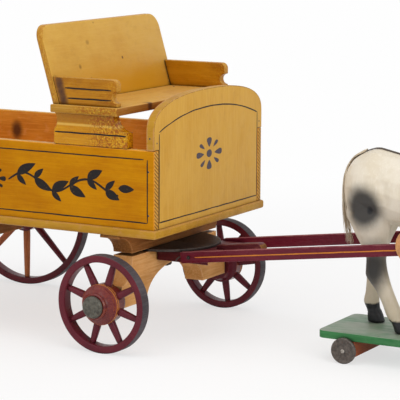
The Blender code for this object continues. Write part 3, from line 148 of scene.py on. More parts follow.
class Recipe:
    """The node tree of one material, put together a step at a time."""

    def __init__(
        self, name: str, colour: Colour, roughness: float, metallic: float = 0.0, coat: float = 0.0,
        specular: float = 0.5,
    ) -> None:
        """Start a material whose even values sit on the shader's own sockets.

        Args:
            name: The material's name.
            colour: The colour that all others are laid over.
            roughness: How matt it is.
            metallic: How far it is bare metal.
            coat: How much clear varnish lies on it.
            specular: How strongly it mirrors.
        """
        self.material = bpy.data.materials.new(name)
        self.material.use_nodes = True
        self.tree = self.material.node_tree
        self.shader = self.tree.nodes["Principled BSDF"]
        for socket, value in (
            ("Roughness", roughness), ("Metallic", metallic), ("Coat Weight", coat),
            ("Coat Roughness", COAT_ROUGHNESS), ("Specular IOR Level", specular),
        ):
            self.shader.inputs[socket].default_value = value
        self.place = self.add("TexCoord", {}).outputs["Object"]
        self.roughness = roughness
        self.colour = linear(colour)

    def add(self, kind: str, inputs: dict, **settings: object) -> bpy.types.Node:
        """Add a node to the material."""
        return add_node(self.tree, kind, inputs, **settings)

    def sum_of(self, how: str, first: object, second: object) -> Socket:
        """Combine two numbers by the named operation."""
        return self.add("Math", {0: first, 1: second}, operation=how).outputs[0]

    def times(self, first: object, second: object) -> Socket:
        """Multiply two numbers."""
        return self.sum_of("MULTIPLY", first, second)

    def most(self, masks: Sequence[Socket]) -> Socket:
        """Take the strongest of several masks at each place."""
        return reduce(lambda first, second: self.sum_of("MAXIMUM", first, second), masks)

    def rise(self, value: object, low: float, high: float) -> Socket:
        """Rise softly from 0 at the low value to 1 at the high one."""
        inputs = {"Value": value, "From Min": low, "From Max": high}
        return self.add("MapRange", inputs, interpolation_type="SMOOTHSTEP").outputs[0]

    def fall(self, value: object, low: float, high: float) -> Socket:
        """Fall softly from 1 at the low value to 0 at the high one."""
        return self.sum_of("SUBTRACT", 1.0, self.rise(value, low, high))

    def along(self, axis: Axis) -> Socket:
        """The place along one axis."""
        return self.add("SeparateXYZ", {0: self.place}).outputs[axis.name]

    def noise(
        self, size: float, run: Sequence[float] = (1.0, 1.0, 1.0), detail: float = 3.0, seed: float = 0.0
    ) -> Socket:
        """Soft noise.

        Args:
            size: About how wide its features are.
            run: How much they are drawn out along each axis.
            detail: How many finer layers lie on top.
            seed: Where in the pattern this one starts.

        Returns:
            The noise, mostly between 0.3 and 0.7.
        """
        scale = [1 / (size * stretch) for stretch in run]
        inputs = {"Vector": self.place, "Scale": scale, "Location": (seed, 2 * seed, 3 * seed)}
        spread = self.add("Mapping", inputs).outputs[0]
        inputs = {"Vector": spread, "Scale": 1.0, "Detail": detail, "Roughness": 0.6}
        return self.add("TexNoise", inputs).outputs["Fac"]

    def cells(self, size: float, **settings: object) -> bpy.types.Node:
        """Split the surface into uneven cells of about the size given."""
        spread = self.add("Mapping", {"Vector": self.place, "Scale": [1 / size] * 3}).outputs[0]
        return self.add("TexVoronoi", {"Vector": spread, "Scale": 1.0}, **settings)

    def specks(self, size: float, share: float) -> Socket:
        """Small round spots.

        Args:
            size: How wide a cell is, which has one spot at most.
            share: The share of the cells that have one.

        Returns:
            A mask of the spots.
        """
        cells = self.cells(size)
        chosen = self.add("SeparateColor", {0: cells.outputs["Color"]})
        reach = self.times(chosen.outputs[1], SPECK_REACH)
        near = self.sum_of("LESS_THAN", cells.outputs["Distance"], reach)
        return self.times(near, self.sum_of("LESS_THAN", chosen.outputs[0], share))

    def cracks(self, size: float, width: float) -> Socket:
        """A net of fine cracks round cells of the size given."""
        distance = self.cells(size, feature="DISTANCE_TO_EDGE").outputs["Distance"]
        return self.fall(distance, 0.0, width)

    def blob(self, centre: Vector, radii: Vector, soft: float, ragged: float = 0.25) -> Socket:
        """A soft-edged patch.

        Args:
            centre: Its middle.
            radii: Its half size along each axis.
            soft: The share of the radius over which it fades.
            ragged: How far noise moves its edge, as a share of the radius.

        Returns:
            A mask, 1 inside and 0 outside.
        """
        away = self.add("VectorMath", {0: self.place, 1: centre}, operation="SUBTRACT").outputs[0]
        shares = self.add("VectorMath", {0: away, 1: radii}, operation="DIVIDE").outputs[0]
        distance = self.add("VectorMath", {0: shares}, operation="LENGTH").outputs["Value"]
        swing = self.times(self.sum_of("SUBTRACT", self.noise(max(radii) / 2, detail=5.0), 0.5), 2 * ragged)
        return self.fall(self.sum_of("ADD", distance, swing), 1 - soft, 1 + soft)

    def lay(self, mask: object, over: Colour, share: object = 1.0) -> None:
        """Lay a colour over those so far, where a mask shows and by a share of it."""
        inputs = {0: self.times(mask, share), 6: self.colour, 7: linear(over)}
        self.colour = self.add("Mix", inputs, data_type="RGBA").outputs[2]

    def edges(self, radius: float) -> Socket:
        """A mask of the sharp edges.

        Args:
            radius: How far it reaches from them.

        Returns:
            The mask.
        """
        round_normal = self.add("Bevel", {"Radius": radius}, samples=6).outputs[0]
        normal = self.add("NewGeometry", {}).outputs["Normal"]
        inputs = {0: round_normal, 1: normal}
        turn = self.add("VectorMath", inputs, operation="DOT_PRODUCT").outputs["Value"]
        return self.rise(self.sum_of("SUBTRACT", 1.0, turn), *EDGE_TURN)

    def corner_shade(self, reach: float) -> Socket:
        """A mask from ambient occlusion of the inner corners and joints within a reach, for painting shade
        into them.
        """
        shut = self.add("AmbientOcclusion", {"Distance": reach}, samples=8).outputs["AO"]
        return self.fall(shut, 0.25, 0.85)

    def bump(self, height: object, depth: float, strength: float = 1.0) -> None:
        """Give the surface a relief of the depth given."""
        normal = self.add("Bump", {"Height": height, "Distance": depth, "Strength": strength}).outputs[0]
        self.tree.links.new(normal, self.shader.inputs["Normal"])

    def finish(self, gloss_change: object = None) -> Material:
        """Feed the shader.

        Args:
            gloss_change: What is added to the roughness from place to place.

        Returns:
            The finished material.
        """
        self.tree.links.new(self.colour, self.shader.inputs["Base Color"])
        if gloss_change is not None:
            rough = self.sum_of("ADD", self.roughness, gloss_change)
            self.tree.links.new(rough, self.shader.inputs["Roughness"])
        return self.material


@dataclass(frozen=True)
class Stain:
    """A knot in a board, a place where its paint has another colour, or a patch of painted shade or
    highlight.
    """

    centre: Triple
    radii: Triple
    colour: Colour = (74, 40, 24)
    strength: float = 0.9


@dataclass(frozen=True)
class PaintedWood:
    """Thin old paint over wood, with grain, dirt and painted shade in its joints, and rubbed edges."""

    name: str
    paint: Colour
    shade: Colour
    light: Colour
    bare: Colour = (150, 98, 50)
    grime_and_shade: Colour = (58, 34, 14)
    grain: Axis = Axis.X
    mottling: float = 0.5
    streaks: float = 0.35
    wear: float = 0.5
    edge: float = 0.0014
    roughness: float = 0.42
    coat: float = 0.0
    specular: float = 0.12
    specks: float = 0.04
    crackle: float = 0.0
    crackle_from: float = 0.0
    blotch: float = 0.1
    stains_and_light: tuple[Stain, ...] = ()

    def material(self) -> Material:
        """Make the material.

        Returns:
            The material.
        """
        mix = Recipe(self.name, self.paint, self.roughness, coat=self.coat, specular=self.specular)
        clouds = mix.rise(mix.noise(0.028, self.grain.drawn_out(2.0), 4.0), 0.38, 0.66)
        mix.lay(clouds, self.shade, self.mottling)
        fibres = mix.noise(0.0011, self.grain.drawn_out(28.0), 4.0)
        streaks = mix.rise(fibres, 0.42, 0.72)
        mix.lay(streaks, self.light, self.streaks)
        pores = mix.rise(mix.noise(0.0007, self.grain.drawn_out(4.0), 2.0, 3.0), 0.56, 0.74)
        mix.lay(pores, self.shade, 0.22)
        blotches = mix.rise(mix.noise(0.0055, self.grain.drawn_out(1.5), 5.0, 11.0), 0.52, 0.7)
        mix.lay(blotches, self.bare, self.blotch)
        for mark in self.stains_and_light:
            mask = mix.blob(Vector(mark.centre), Vector(mark.radii), 0.6)
            mix.lay(mask, mark.colour, mark.strength)
        spots = mix.specks(0.011, self.specks * 4)
        mix.lay(spots, self.grime_and_shade, 0.6)
        if self.crackle:
            zone = mix.rise(mix.along(Axis.X), self.crackle_from, self.crackle_from + 0.022)
            share = mix.times(zone, self.crackle)
            flakes = mix.rise(mix.noise(0.002, detail=5.0, seed=7.0), 0.48, 0.58)
            mix.lay(flakes, (156, 74, 8), share)
            chips = mix.rise(mix.noise(0.0016, detail=4.0, seed=17.0), 0.54, 0.62)
            mix.lay(chips, (238, 190, 52), mix.times(share, 0.7))
            net = mix.times(mix.cracks(0.0016, 0.13), mix.times(share, 0.6))
            mix.lay(net, (88, 40, 8))
        patchy = mix.noise(0.0065, self.grain.drawn_out(1.8), 6.0, 5.0)
        rubbed = mix.rise(patchy, 0.66 - 0.32 * self.wear, 0.76 - 0.32 * self.wear)
        mix.lay(mix.edges(self.edge), self.bare, rubbed)
        # Dirt and painted shade, dark brown, laid into the inner corners and joints.
        mix.lay(mix.corner_shade(0.0045), self.grime_and_shade, 0.8)
        height = mix.sum_of("ADD", mix.times(fibres, 0.8), mix.times(patchy, 0.5))
        mix.bump(height, 0.00022, 0.6)
        return mix.finish(mix.times(mix.sum_of("SUBTRACT", patchy, 0.5), 0.5))


@dataclass(frozen=True)
class EndGrain:
    """Paint over a sawn end, through which the slanting rings of the wood show."""

    name: str
    paint: Colour = (208, 156, 62)
    ring: Colour = (112, 62, 10)

    def material(self) -> Material:
        """Make the material.

        Returns:
            The material.
        """
        mix = Recipe(self.name, self.paint, 0.5, specular=0.12)
        slanted = mix.add("Mapping", {"Vector": mix.place, "Rotation": (radians(38), 0.0, 0.0)})
        inputs = {"Vector": slanted.outputs[0], "Scale": 132.0, "Distortion": 1.3, "Detail": 3.0}
        rings = mix.add("TexWave", inputs, bands_direction="Z").outputs["Fac"]
        mix.lay(mix.rise(rings, 0.4, 0.75), self.ring, 0.85)
        blotches = mix.rise(mix.noise(0.006, detail=4.0), 0.5, 0.68)
        mix.lay(blotches, (200, 152, 88), 0.3)
        # Painted shade, dark brown, in the corners round the sawn end.
        mix.lay(mix.corner_shade(0.003), (70, 44, 22), 0.9)
        mix.bump(rings, 0.00025, 0.7)
        return mix.finish()


@dataclass(frozen=True)
class LinePaint:
    """The paint of a hand-drawn line or ornament, thin in places."""

    name: str
    paint: Colour
    thin: Colour
    roughness: float = 0.42

    def material(self) -> Material:
        """Make the material.

        Returns:
            The material.
        """
        mix = Recipe(self.name, self.paint, self.roughness, specular=0.1)
        thin = mix.rise(mix.noise(0.0022, detail=5.0), 0.54, 0.72)
        mix.lay(thin, self.thin, 0.55)
        mix.bump(mix.noise(0.0008, detail=2.0), 0.00005)
        return mix.finish()


@dataclass(frozen=True)
class AgedMetal:
    """Iron, tin or steel, dulled and spotted with age."""

    name: str
    face: Colour
    dark: Colour
    rust: Colour
    roughness: float = 0.45
    metallic: float = 0.6
    rusting: float = 0.35
    turned: bool = False

    def material(self) -> Material:
        """Make the material.

        Returns:
            The material.
        """
        mix = Recipe(self.name, self.face, self.roughness, self.metallic)
        clouds = mix.rise(mix.noise(0.0022, detail=6.0, seed=21.0), 0.35, 0.7)
        mix.lay(clouds, self.dark)
        rust = mix.rise(mix.noise(0.0012, detail=6.0, seed=33.0), 0.5, 0.7)
        mix.lay(rust, self.rust, self.rusting)
        mix.lay(mix.edges(0.0005), (168, 164, 158), 0.4)
        # Painted shade, near black, in the hollows and corners round the metal.
        mix.lay(mix.corner_shade(0.003), (30, 24, 20), 0.7)
        height = mix.noise(0.0009, detail=4.0)
        if self.turned:
            rings = mix.add("TexWave", {"Vector": mix.place, "Scale": 260.0}, wave_type="RINGS")
            rings.rings_direction = "Y"
            height = mix.sum_of("ADD", height, mix.times(rings.outputs["Fac"], 0.12))
        mix.bump(height, 0.00012, 0.8)
        return mix.finish(mix.times(rust, 0.25))


@dataclass(frozen=True)
class Leather:
    """Old strap leather with fine creases, and painted shade darkening its edges where it meets what lies
    under it.
    """

    name: str
    face: Colour
    crease: Colour
    worn: Colour
    roughness: float = 0.55

    def material(self) -> Material:
        """Make the material.

        Returns:
            The material.
        """
        mix = Recipe(self.name, self.face, self.roughness, coat=0.08)
        clouds = mix.rise(mix.noise(0.009, detail=4.0), 0.36, 0.66)
        mix.lay(clouds, self.crease, 0.5)
        pebble = mix.cracks(0.0011, 0.22)
        mix.lay(pebble, self.crease, 0.3)
        mix.lay(mix.edges(0.0007), self.worn, 0.55)
        # Painted shade, in the leather's darkest colour, where the strap meets what lies under it.
        mix.lay(mix.corner_shade(0.003), self.crease, 0.75)
        mix.bump(mix.sum_of("SUBTRACT", mix.noise(0.0008, detail=3.0), pebble), 0.0001, 0.8)
        return mix.finish()


@dataclass(frozen=True)
class Patch:
    """A sprayed dark patch on the horse's coat."""

    centre: Triple
    radii: Triple
    soft: float = 0.35
    strength: float = 1.0


@dataclass(frozen=True)
class HorsePaint:
    """Cream paint over a moulded body, with soft dark patches and black hooves."""

    name: str
    patches: tuple[Patch, ...]
    hoof_top: float
    hoof_floor: float
    cream: Colour = (226, 216, 198)
    warm: Colour = (206, 190, 160)
    patch: Colour = (22, 23, 28)
    hoof: Colour = (36, 36, 38)

    def material(self) -> Material:
        """Make the material.

        Returns:
            The material.
        """
        mix = Recipe(self.name, self.cream, 0.38, coat=0.1, specular=0.2)
        clouds = mix.rise(mix.noise(0.022, detail=4.0), 0.4, 0.66)
        mix.lay(clouds, self.warm, 0.45)
        brushed = mix.noise(0.0016, (1.0, 1.0, 5.0), 4.0, 6.0)
        mix.lay(mix.rise(brushed, 0.5, 0.7), (240, 233, 220), 0.3)
        # Painted shade, warm brown, in the hollows and creases of the body and between the legs.
        mix.lay(mix.corner_shade(0.01), (158, 128, 88), 0.55)
        low_down = mix.fall(mix.along(Axis.Z), self.hoof_floor, self.hoof_floor + 0.075)
        mix.lay(low_down, (150, 134, 104), 0.5)
        masks = []
        for patch in self.patches:
            mask = mix.blob(Vector(patch.centre), Vector(patch.radii), patch.soft, 0.1)
            masks.append(mix.times(mask, patch.strength))
        mix.lay(mix.most(masks), self.patch)
        swing = mix.times(mix.sum_of("SUBTRACT", mix.noise(0.004), 0.5), 0.003)
        lean = mix.times(mix.along(Axis.Y), -0.2)
        height = mix.sum_of("ADD", mix.sum_of("ADD", mix.along(Axis.Z), lean), swing)
        black = mix.fall(height, self.hoof_floor, self.hoof_top)
        mix.lay(black, self.hoof)
        chips = mix.times(mix.edges(0.0009), mix.rise(mix.noise(0.005, detail=5.0), 0.5, 0.6))
        mix.lay(chips, (176, 150, 116), 0.6)
        relief = mix.sum_of("ADD", mix.times(brushed, 0.4), mix.noise(0.006, detail=4.0))
        mix.bump(relief, 0.00018, 0.3)
        return mix.finish(mix.times(mix.sum_of("SUBTRACT", brushed, 0.5), 0.3))


@dataclass(frozen=True)
class Hair:
    """Pale hair, streaked from strand to strand."""

    name: str
    pale: Colour = (232, 220, 198)
    deep: Colour = (192, 170, 138)

    def material(self) -> Material:
        """Make the material.

        Returns:
            The material.
        """
        mix = Recipe(self.name, self.pale, 0.55)
        mix.shader.inputs["Sheen Weight"].default_value = 0.25
        strands = mix.rise(mix.noise(0.0009, (1.0, 1.0, 22.0), 3.0), 0.4, 0.62)
        mix.lay(strands, self.deep)
        # A little painted shade deep among the strands and where they meet the skin.
        mix.lay(mix.corner_shade(0.002), (120, 96, 68), 0.25)
        mix.bump(strands, 0.00008)
        return mix.finish()


@dataclass(frozen=True)
class EyeGlass:
    """A dark glass eye with a brown ring round its pupil."""

    name: str
    centre: Triple

    def material(self) -> Material:
        """Make the material.

        Returns:
            The material.
        """
        mix = Recipe(self.name, (84, 44, 20), 0.06, coat=1.0)
        pupil = mix.blob(Vector(self.centre), Vector((0.0013, 0.004, 0.0011)), 0.12, 0.02)
        streaks = mix.rise(mix.noise(0.0005, detail=2.0), 0.4, 0.6)
        mix.lay(streaks, (40, 20, 12))
        mix.lay(pupil, (8, 6, 6))
        return mix.finish()


Finish = PaintedWood | EndGrain | LinePaint | AgedMetal | Leather | HorsePaint | Hair | EyeGlass

MUSTARD = PaintedWood(
    "mustard_side", (196, 130, 4), (172, 102, 2), (212, 150, 14), wear=0.9, roughness=0.34,
    streaks=0.3, mottling=0.7, bare=(126, 76, 20), edge=0.0012, blotch=0.06, specular=0.06,
)
# A paler copy of the mustard paint for the front board's forward face: painted light and glare. The side
# panels' top edges take it too.
BUFF = PaintedWood(
    "buff_front", (210, 160, 66), (196, 142, 46), (220, 176, 88), grain=Axis.Z, streaks=0.4,
    wear=0.95, roughness=0.45, specks=0.05, edge=0.0017, bare=(112, 70, 30), blotch=0.07,
)
FLOOR_EDGE = PaintedWood(
    "floor_edge", (184, 136, 38), (148, 98, 18), (200, 152, 66), wear=0.85, edge=0.0028,
    bare=(196, 142, 96), roughness=0.48, blotch=0.25,
)
PINE = PaintedWood(
    "stained_inside", (226, 148, 44), (190, 110, 26), (240, 170, 72), bare=(236, 180, 116),
    streaks=0.5, mottling=0.7, wear=0.5, roughness=0.5, blotch=0.2,
    stains_and_light=(Stain((-0.2438, 0.084, 0.147), (0.0052, 0.012, 0.0078)),
            Stain((-0.1, 0.084, 0.131), (0.0034, 0.012, 0.003)),
            Stain((-0.19, -0.084, 0.126), (0.0045, 0.012, 0.005))),
)
BOARD_ENDS = EndGrain("board_ends")
BLACK_LINE = LinePaint("black_lines", (38, 34, 34), (84, 62, 34))
STENCIL = LinePaint("blue_grey_stencil", (76, 68, 78), (128, 98, 66))
IRON = AgedMetal("black_iron_aged", (70, 64, 60), (42, 38, 36), (92, 58, 40))
STEEL = AgedMetal("steel_aged", (178, 172, 164), (126, 118, 110), (120, 84, 56), 0.32, 0.9, 0.2)
TAN_LEATHER = Leather("tan_strap", (216, 156, 98), (150, 92, 44), (232, 186, 134))
DARK_LEATHER = Leather("dark_strap", (82, 70, 60), (44, 36, 30), (120, 104, 88))
HAIR = Hair("pale_hair")
WHEEL_MAROON = PaintedWood(
    "maroon_wheel", (100, 32, 44), (74, 22, 34), (120, 52, 56), grain=Axis.Y, wear=0.62, edge=0.001,
    bare=(150, 84, 56), grime_and_shade=(36, 14, 16), roughness=0.32, coat=0.12, streaks=0.25, blotch=0.05,
)
TREAD = PaintedWood(
    "slate_tread", (84, 78, 82), (62, 58, 62), (112, 104, 106), grain=Axis.Y, wear=0.5, edge=0.0012,
    bare=(112, 66, 60), grime_and_shade=(40, 30, 30), roughness=0.62, streaks=0.4, mottling=0.9,
)
HUB_RED = PaintedWood(
    "red_hub", (120, 44, 42), (80, 28, 36), (150, 74, 44), grain=Axis.Y, wear=0.6, edge=0.0012,
    bare=(170, 90, 42), grime_and_shade=(40, 16, 14), roughness=0.28, coat=0.3, mottling=0.9, streaks=0.4,
)
BARE_SPOKE = PaintedWood(
    "bare_spoke", (190, 118, 76), (150, 78, 52), (206, 142, 98), grain=Axis.Z, wear=0.3,
    grime_and_shade=(90, 34, 30), roughness=0.5, mottling=0.8, streaks=0.6,
)
CRACKLED_RISER = PaintedWood(
    "crackled_riser", (208, 144, 4), (176, 104, 2), (228, 176, 34), wear=0.9, roughness=0.24,
    coat=0.22, crackle=0.8, crackle_from=-0.062, specks=0.02, edge=0.0014, bare=(112, 64, 20),
    # The first patch is painted shade across the riser's waist, the second a painted highlight along the
    # ledge just below it, standing for a moulding the shape lacks.
    stains_and_light=(Stain((-0.054, 0.0, 0.1866), (0.2, 1.0, 0.0046), (140, 86, 20), 0.55),
            Stain((-0.054, 0.0, 0.1814), (0.2, 1.0, 0.0009), (238, 196, 96), 0.6)),
)
# A paler copy of the mustard paint on the back's forward face: painted light and glare.
SEAT_BACK = PaintedWood(
    "buff_seat_back", (210, 164, 74), (192, 138, 46), (218, 176, 92), grain=Axis.Y, wear=0.95,
    specks=0.05, roughness=0.4, streaks=0.25, edge=0.0016, bare=(118, 76, 34), blotch=0.08,
    stains_and_light=(Stain((-0.094, 0.0, 0.196), (0.06, 0.12, 0.026), (200, 140, 14), 0.8),
            Stain((-0.094, -0.0485, 0.2235), (0.02, 0.0018, 0.0018), strength=0.5),
            Stain((-0.094, 0.019, 0.2262), (0.02, 0.0011, 0.0011)),
            Stain((-0.094, -0.029, 0.242), (0.02, 0.0022, 0.0018), strength=0.35)),
)
WORN_END = PaintedWood(
    "worn_back_end", (200, 146, 52), (156, 102, 24), (224, 178, 96), grain=Axis.Z, wear=0.95,
    edge=0.0018, bare=(98, 58, 24), crackle=0.35, crackle_from=-0.14,
)
BENCH_SIDE = PaintedWood(
    "worn_bench_side", (182, 130, 40), (140, 88, 18), (212, 166, 84), wear=0.95, edge=0.0016,
    bare=(104, 64, 28), crackle=0.6, crackle_from=-0.075,
)
BOLSTER = PaintedWood(
    "worn_bolster", (218, 160, 96), (184, 126, 60), (230, 182, 122), grain=Axis.Y, wear=0.8,
    edge=0.0022, bare=(228, 182, 132), roughness=0.55, streaks=0.6, mottling=0.8, specks=0.05,
)
# A darker copy of the bolster paint: painted shade on the upper and rear bolsters under the floor. The centre
# bar's front end takes it too.
SHADED_BOLSTER = PaintedWood(
    "shaded_bolster", (138, 88, 40), (98, 58, 24), (166, 114, 62), grain=Axis.Y, wear=0.8,
    edge=0.0018, bare=(196, 140, 86), roughness=0.6, streaks=0.6, mottling=0.9, specks=0.05,
)
GEAR_MAROON = PaintedWood(
    "worn_maroon", (86, 28, 36), (60, 18, 24), (116, 60, 62), wear=0.8, edge=0.0012,
    bare=(176, 116, 100), grime_and_shade=(36, 14, 16), roughness=0.4, streaks=0.5, blotch=0.15,
)
SHAFT_MAROON = PaintedWood(
    "maroon_shaft", (102, 26, 42), (80, 18, 32), (122, 46, 56), wear=0.6, edge=0.001,
    bare=(150, 80, 84), grime_and_shade=(40, 14, 20), roughness=0.3, coat=0.12, streaks=0.3, blotch=0.06,
)
# Lighter pink for the shafts' top faces: rubbed paint and a painted sheen, with the shine itself turned off.
SHEEN_AND_RUBBED_SHAFT = PaintedWood(
    "rubbed_shaft_top", (140, 78, 84), (104, 40, 52), (178, 128, 126), wear=0.7, specular=0.0,
    bare=(196, 150, 140), grime_and_shade=(40, 14, 20), roughness=0.7, streaks=0.6, mottling=0.8,
)
FADED_GREEN = PaintedWood(
    "faded_green_top", (146, 156, 142), (96, 134, 104), (176, 182, 168), wear=0.7, edge=0.0016,
    bare=(84, 122, 86), grime_and_shade=(70, 66, 52), roughness=0.55, streaks=0.55, mottling=1.0, specks=0.08,
    specular=0.3,
)
GREEN = PaintedWood(
    "green_side", (62, 124, 74), (42, 94, 54), (88, 146, 98), wear=0.5, edge=0.0009,
    bare=(140, 160, 132), grime_and_shade=(30, 44, 30), roughness=0.42, streaks=0.35,
)
BLOCK_STAIN = PaintedWood(
    "stained_block", (152, 78, 50), (120, 54, 34), (176, 104, 70), grain=Axis.Y, wear=0.5,
    grime_and_shade=(50, 26, 18), roughness=0.6, streaks=0.5,
)
GOLD_LINE = LinePaint("gold_line", (202, 126, 48), (136, 64, 40), 0.35)
PEG_CAP = AgedMetal("peg_cap", (96, 94, 84), (58, 56, 50), (92, 70, 54), 0.5, 0.35, 0.5, True)
DARK_TIN = AgedMetal("dark_tin", (96, 88, 82), (66, 60, 56), (98, 68, 52), 0.5, 0.45, 0.45, True)


@cache
def mixed(finish: Finish) -> Material:
    """The material of a finish, made once."""
    return finish.material()


# Meshes


def circle(steps: int) -> list[float]:
    """The angles of even steps round a circle."""
    return [2 * pi * step / steps for step in range(steps)]


def fuller(wave: float) -> float:
    """A sine or cosine, swollen so that a round outline turns a little square."""
    return copysign(abs(wave) ** 0.8, wave)


def round_size(node: str) -> tuple[Vector, float, float]:
    """The centre, the radius and half the thickness of a round node that turns about Y."""
    low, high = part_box(node)
    return (low + high) / 2, (high.z - low.z) / 2, (high.y - low.y) / 2


def placed(name: str, data: bpy.types.ID) -> bpy.types.Object:
    """Put an object into the scene.

    Args:
        name: Its name.
        data: Its mesh, lamp or camera.

    Returns:
        The object.
    """
    thing = bpy.data.objects.new(name, data)
    bpy.context.scene.collection.objects.link(thing)
    return thing


def mesh_of(name: str, bm: Geometry, smooth_up_to: float = SMOOTH_UP_TO) -> bpy.types.Mesh:
    """Turn worked geometry into a mesh, smooth but for its sharper edges.

    Args:
        name: The mesh's name.
        bm: The geometry, which is freed.
        smooth_up_to: The greatest angle that is still shaded smooth.

    Returns:
        The mesh.
    """
    bmesh.ops.recalc_face_normals(bm, faces=bm.faces)
    mesh = bpy.data.meshes.new(name)
    bm.to_mesh(mesh)
    bm.free()
    mesh.polygons.foreach_set("use_smooth", [True] * len(mesh.polygons))
    mesh.set_sharp_from_angle(angle=smooth_up_to)
    return mesh


def put(
    mesh: bpy.types.Mesh, body: str, finishes: Sequence[Finish],
    nodes: Sequence[str] = (), centre: Vector = Vector(),
) -> None:
    """Place a mesh in the scene as a piece that rides on a body.

    Args:
        mesh: The piece's mesh, whose name the piece takes.
        body: The body that it moves with.
        finishes: Its finishes, in the order of the faces' numbers.
        nodes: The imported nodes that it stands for.
        centre: Where its origin goes.
    """
    for finish in finishes:
        mesh.materials.append(mixed(finish))
    piece = placed(mesh.name, mesh)
    piece.location = centre
    bpy.context.view_layer.update()
    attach(piece, body)
    if nodes:
        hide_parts(*nodes)
    LOG.info("%s: %d faces on %s", mesh.name, len(mesh.polygons), body)


def welded(node: str) -> Geometry:
    """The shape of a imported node, as joined faces without their triangles.

    Args:
        node: The node.

    Returns:
        Its geometry.
    """
    bm = bmesh.new()
    bm.from_mesh(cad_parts[node].data)
    bmesh.ops.remove_doubles(bm, verts=bm.verts, dist=WELD)
    bmesh.ops.dissolve_limit(bm, angle_limit=radians(0.8), verts=bm.verts, edges=bm.edges)
    return bm


def faces_up(normal: Vector, middle: Vector) -> int:
    """The rule that a piece's top has its second finish."""
    return int(normal.z > FACING)


def refinish(
    node: str, body: str, finishes: Sequence[Finish],
    rounding: float, rule: FaceRule = lambda normal, middle: 0,
) -> None:
    """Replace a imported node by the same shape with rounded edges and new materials.

    Args:
        node: The node.
        body: The body that it moves with.
        finishes: Its finishes.
        rounding: How far its sharp edges are rounded.
        rule: Gives a face's number among the finishes from its normal and its middle.
    """
    bm = welded(node)
    bm.normal_update()
    for face in bm.faces:
        face.material_index = rule(face.normal, face.calc_center_median())
    sharp = [edge for edge in bm.edges if edge.is_manifold and edge.calc_face_angle(0.0) > SHARP_EDGE]
    bmesh.ops.bevel(
        bm, geom=sharp, offset=rounding, offset_type="OFFSET", segments=3, profile=0.5,
        affect="EDGES", clamp_overlap=True, material=-1,
    )
    put(mesh_of(node + "_finished", bm), body, finishes, [node])


def rounded(outline: Sequence[Point], radius: float, steps: int = 3) -> list[Point]:
    """Round the corners of a closed outline.

    Args:
        outline: Its corner points in order.
        radius: How far from each corner the rounding starts.
        steps: How many lines make each rounding.

    Returns:
        The rounded outline.
    """
    points = []
    for index, corner in enumerate(outline):
        here = Vector(corner)
        ends = []
        for neighbour in (outline[index - 1], outline[(index + 1) % len(outline)]):
            away = Vector(neighbour) - here
            ends.append(here + away.normalized() * min(radius, away.length * 0.45))
        for step in range(steps + 1):
            share = step / steps
            early = ends[0].lerp(here, share)
            late = here.lerp(ends[1], share)
            points.append(tuple(early.lerp(late, share)))
    return points


def turned(
    outline: Sequence[Point], steps: int, bands: Callable[[float, float], int] = lambda radius, along: 0,
) -> Geometry:
    """Turn a closed outline round the Y axis, as on a lathe.

    Args:
        outline: Points of radius and place along the axis. Points at radius 0 close an end.
        steps: How many sides the turned piece has.
        bands: Gives a face's material number from its middle radius and place along the axis.

    Returns:
        The turned geometry.
    """
    bm = bmesh.new()
    rings = []
    for radius, along in outline:
        if radius < WELD:
            rings.append([bm.verts.new((0.0, along, 0.0))] * steps)
            continue
        rings.append([bm.verts.new((radius * cos(a), along, radius * sin(a))) for a in circle(steps)])
    for index in range(len(rings)):
        here, after = rings[index - 1], rings[index]
        middle = (Vector(outline[index - 1]) + Vector(outline[index])) / 2
        for step in range(steps):
            corners = [here[step], here[(step + 1) % steps], after[(step + 1) % steps], after[step]]
            loop = [vert for place, vert in enumerate(corners) if vert not in corners[:place]]
            if len(loop) < 3:
                continue
            bm.faces.new(loop).material_index = bands(*middle)
    return bm


def loft(bm: Geometry, rings: Sequence[Sequence[Vector]], closed: bool = False) -> list:
    """Join rings of points into a skin, capped at both ends unless it closes on itself.

    Args:
        bm: The geometry that it is added to.
        rings: The rings, each with as many points.
        closed: Whether the last ring joins the first.

    Returns:
        The new faces.
    """
    verts = [[bm.verts.new(point) for point in ring] for ring in rings]
    faces = []
    for index in range(0 if closed else 1, len(verts)):
        here, after = verts[index - 1], verts[index]
        for step in range(len(here)):
            later = (step + 1) % len(here)
            faces.append(bm.faces.new((here[step], here[later], after[later], after[step])))
    if not closed:
        faces += [bm.faces.new(verts[0]), bm.faces.new(verts[-1])]
    return faces


def tube(bm: Geometry, path: Sequence[Vector], radii: Sequence[float], sides: int) -> None:
    """Add a round tube along a path.

    Args:
        bm: The geometry that it is added to.
        path: Its middle line.
        radii: Its radius at each point of the path.
        sides: How many sides it has.
    """
    rings = []
    side = LEFT
    for index, point in enumerate(path):
        before, after = path[max(index - 1, 0)], path[min(index + 1, len(path) - 1)]
        ahead = (after - before).normalized()
        side = side - ahead * side.dot(ahead)
        side = side.normalized() if side.length > 0.001 else ahead.orthogonal().normalized()
        up = ahead.cross(side)
        rings.append([point + (side * cos(a) + up * sin(a)) * radii[index] for a in circle(sides)])
    loft(bm, rings)


def curve_through(points: Sequence[Vector], between: int) -> list[Vector]:
    """A smooth curve through points.

    Args:
        points: The points.
        between: How many steps lead from each to the next.

    Returns:
        The points of the curve.
    """
    ends = [points[0] * 2 - points[1], *points, points[-1] * 2 - points[-2]]
    path = []
    for index in range(1, len(ends) - 2):
        a, b, c, d = ends[index - 1:index + 3]
        for step in range(between):
            t = step / between
            bend = (a * 2 - b * 5 + c * 4 - d) * t * t + (b * 3 - a - c * 3 + d) * t ** 3
            path.append((b * 2 + (c - a) * t + bend) / 2)
    return path + [points[-1]]


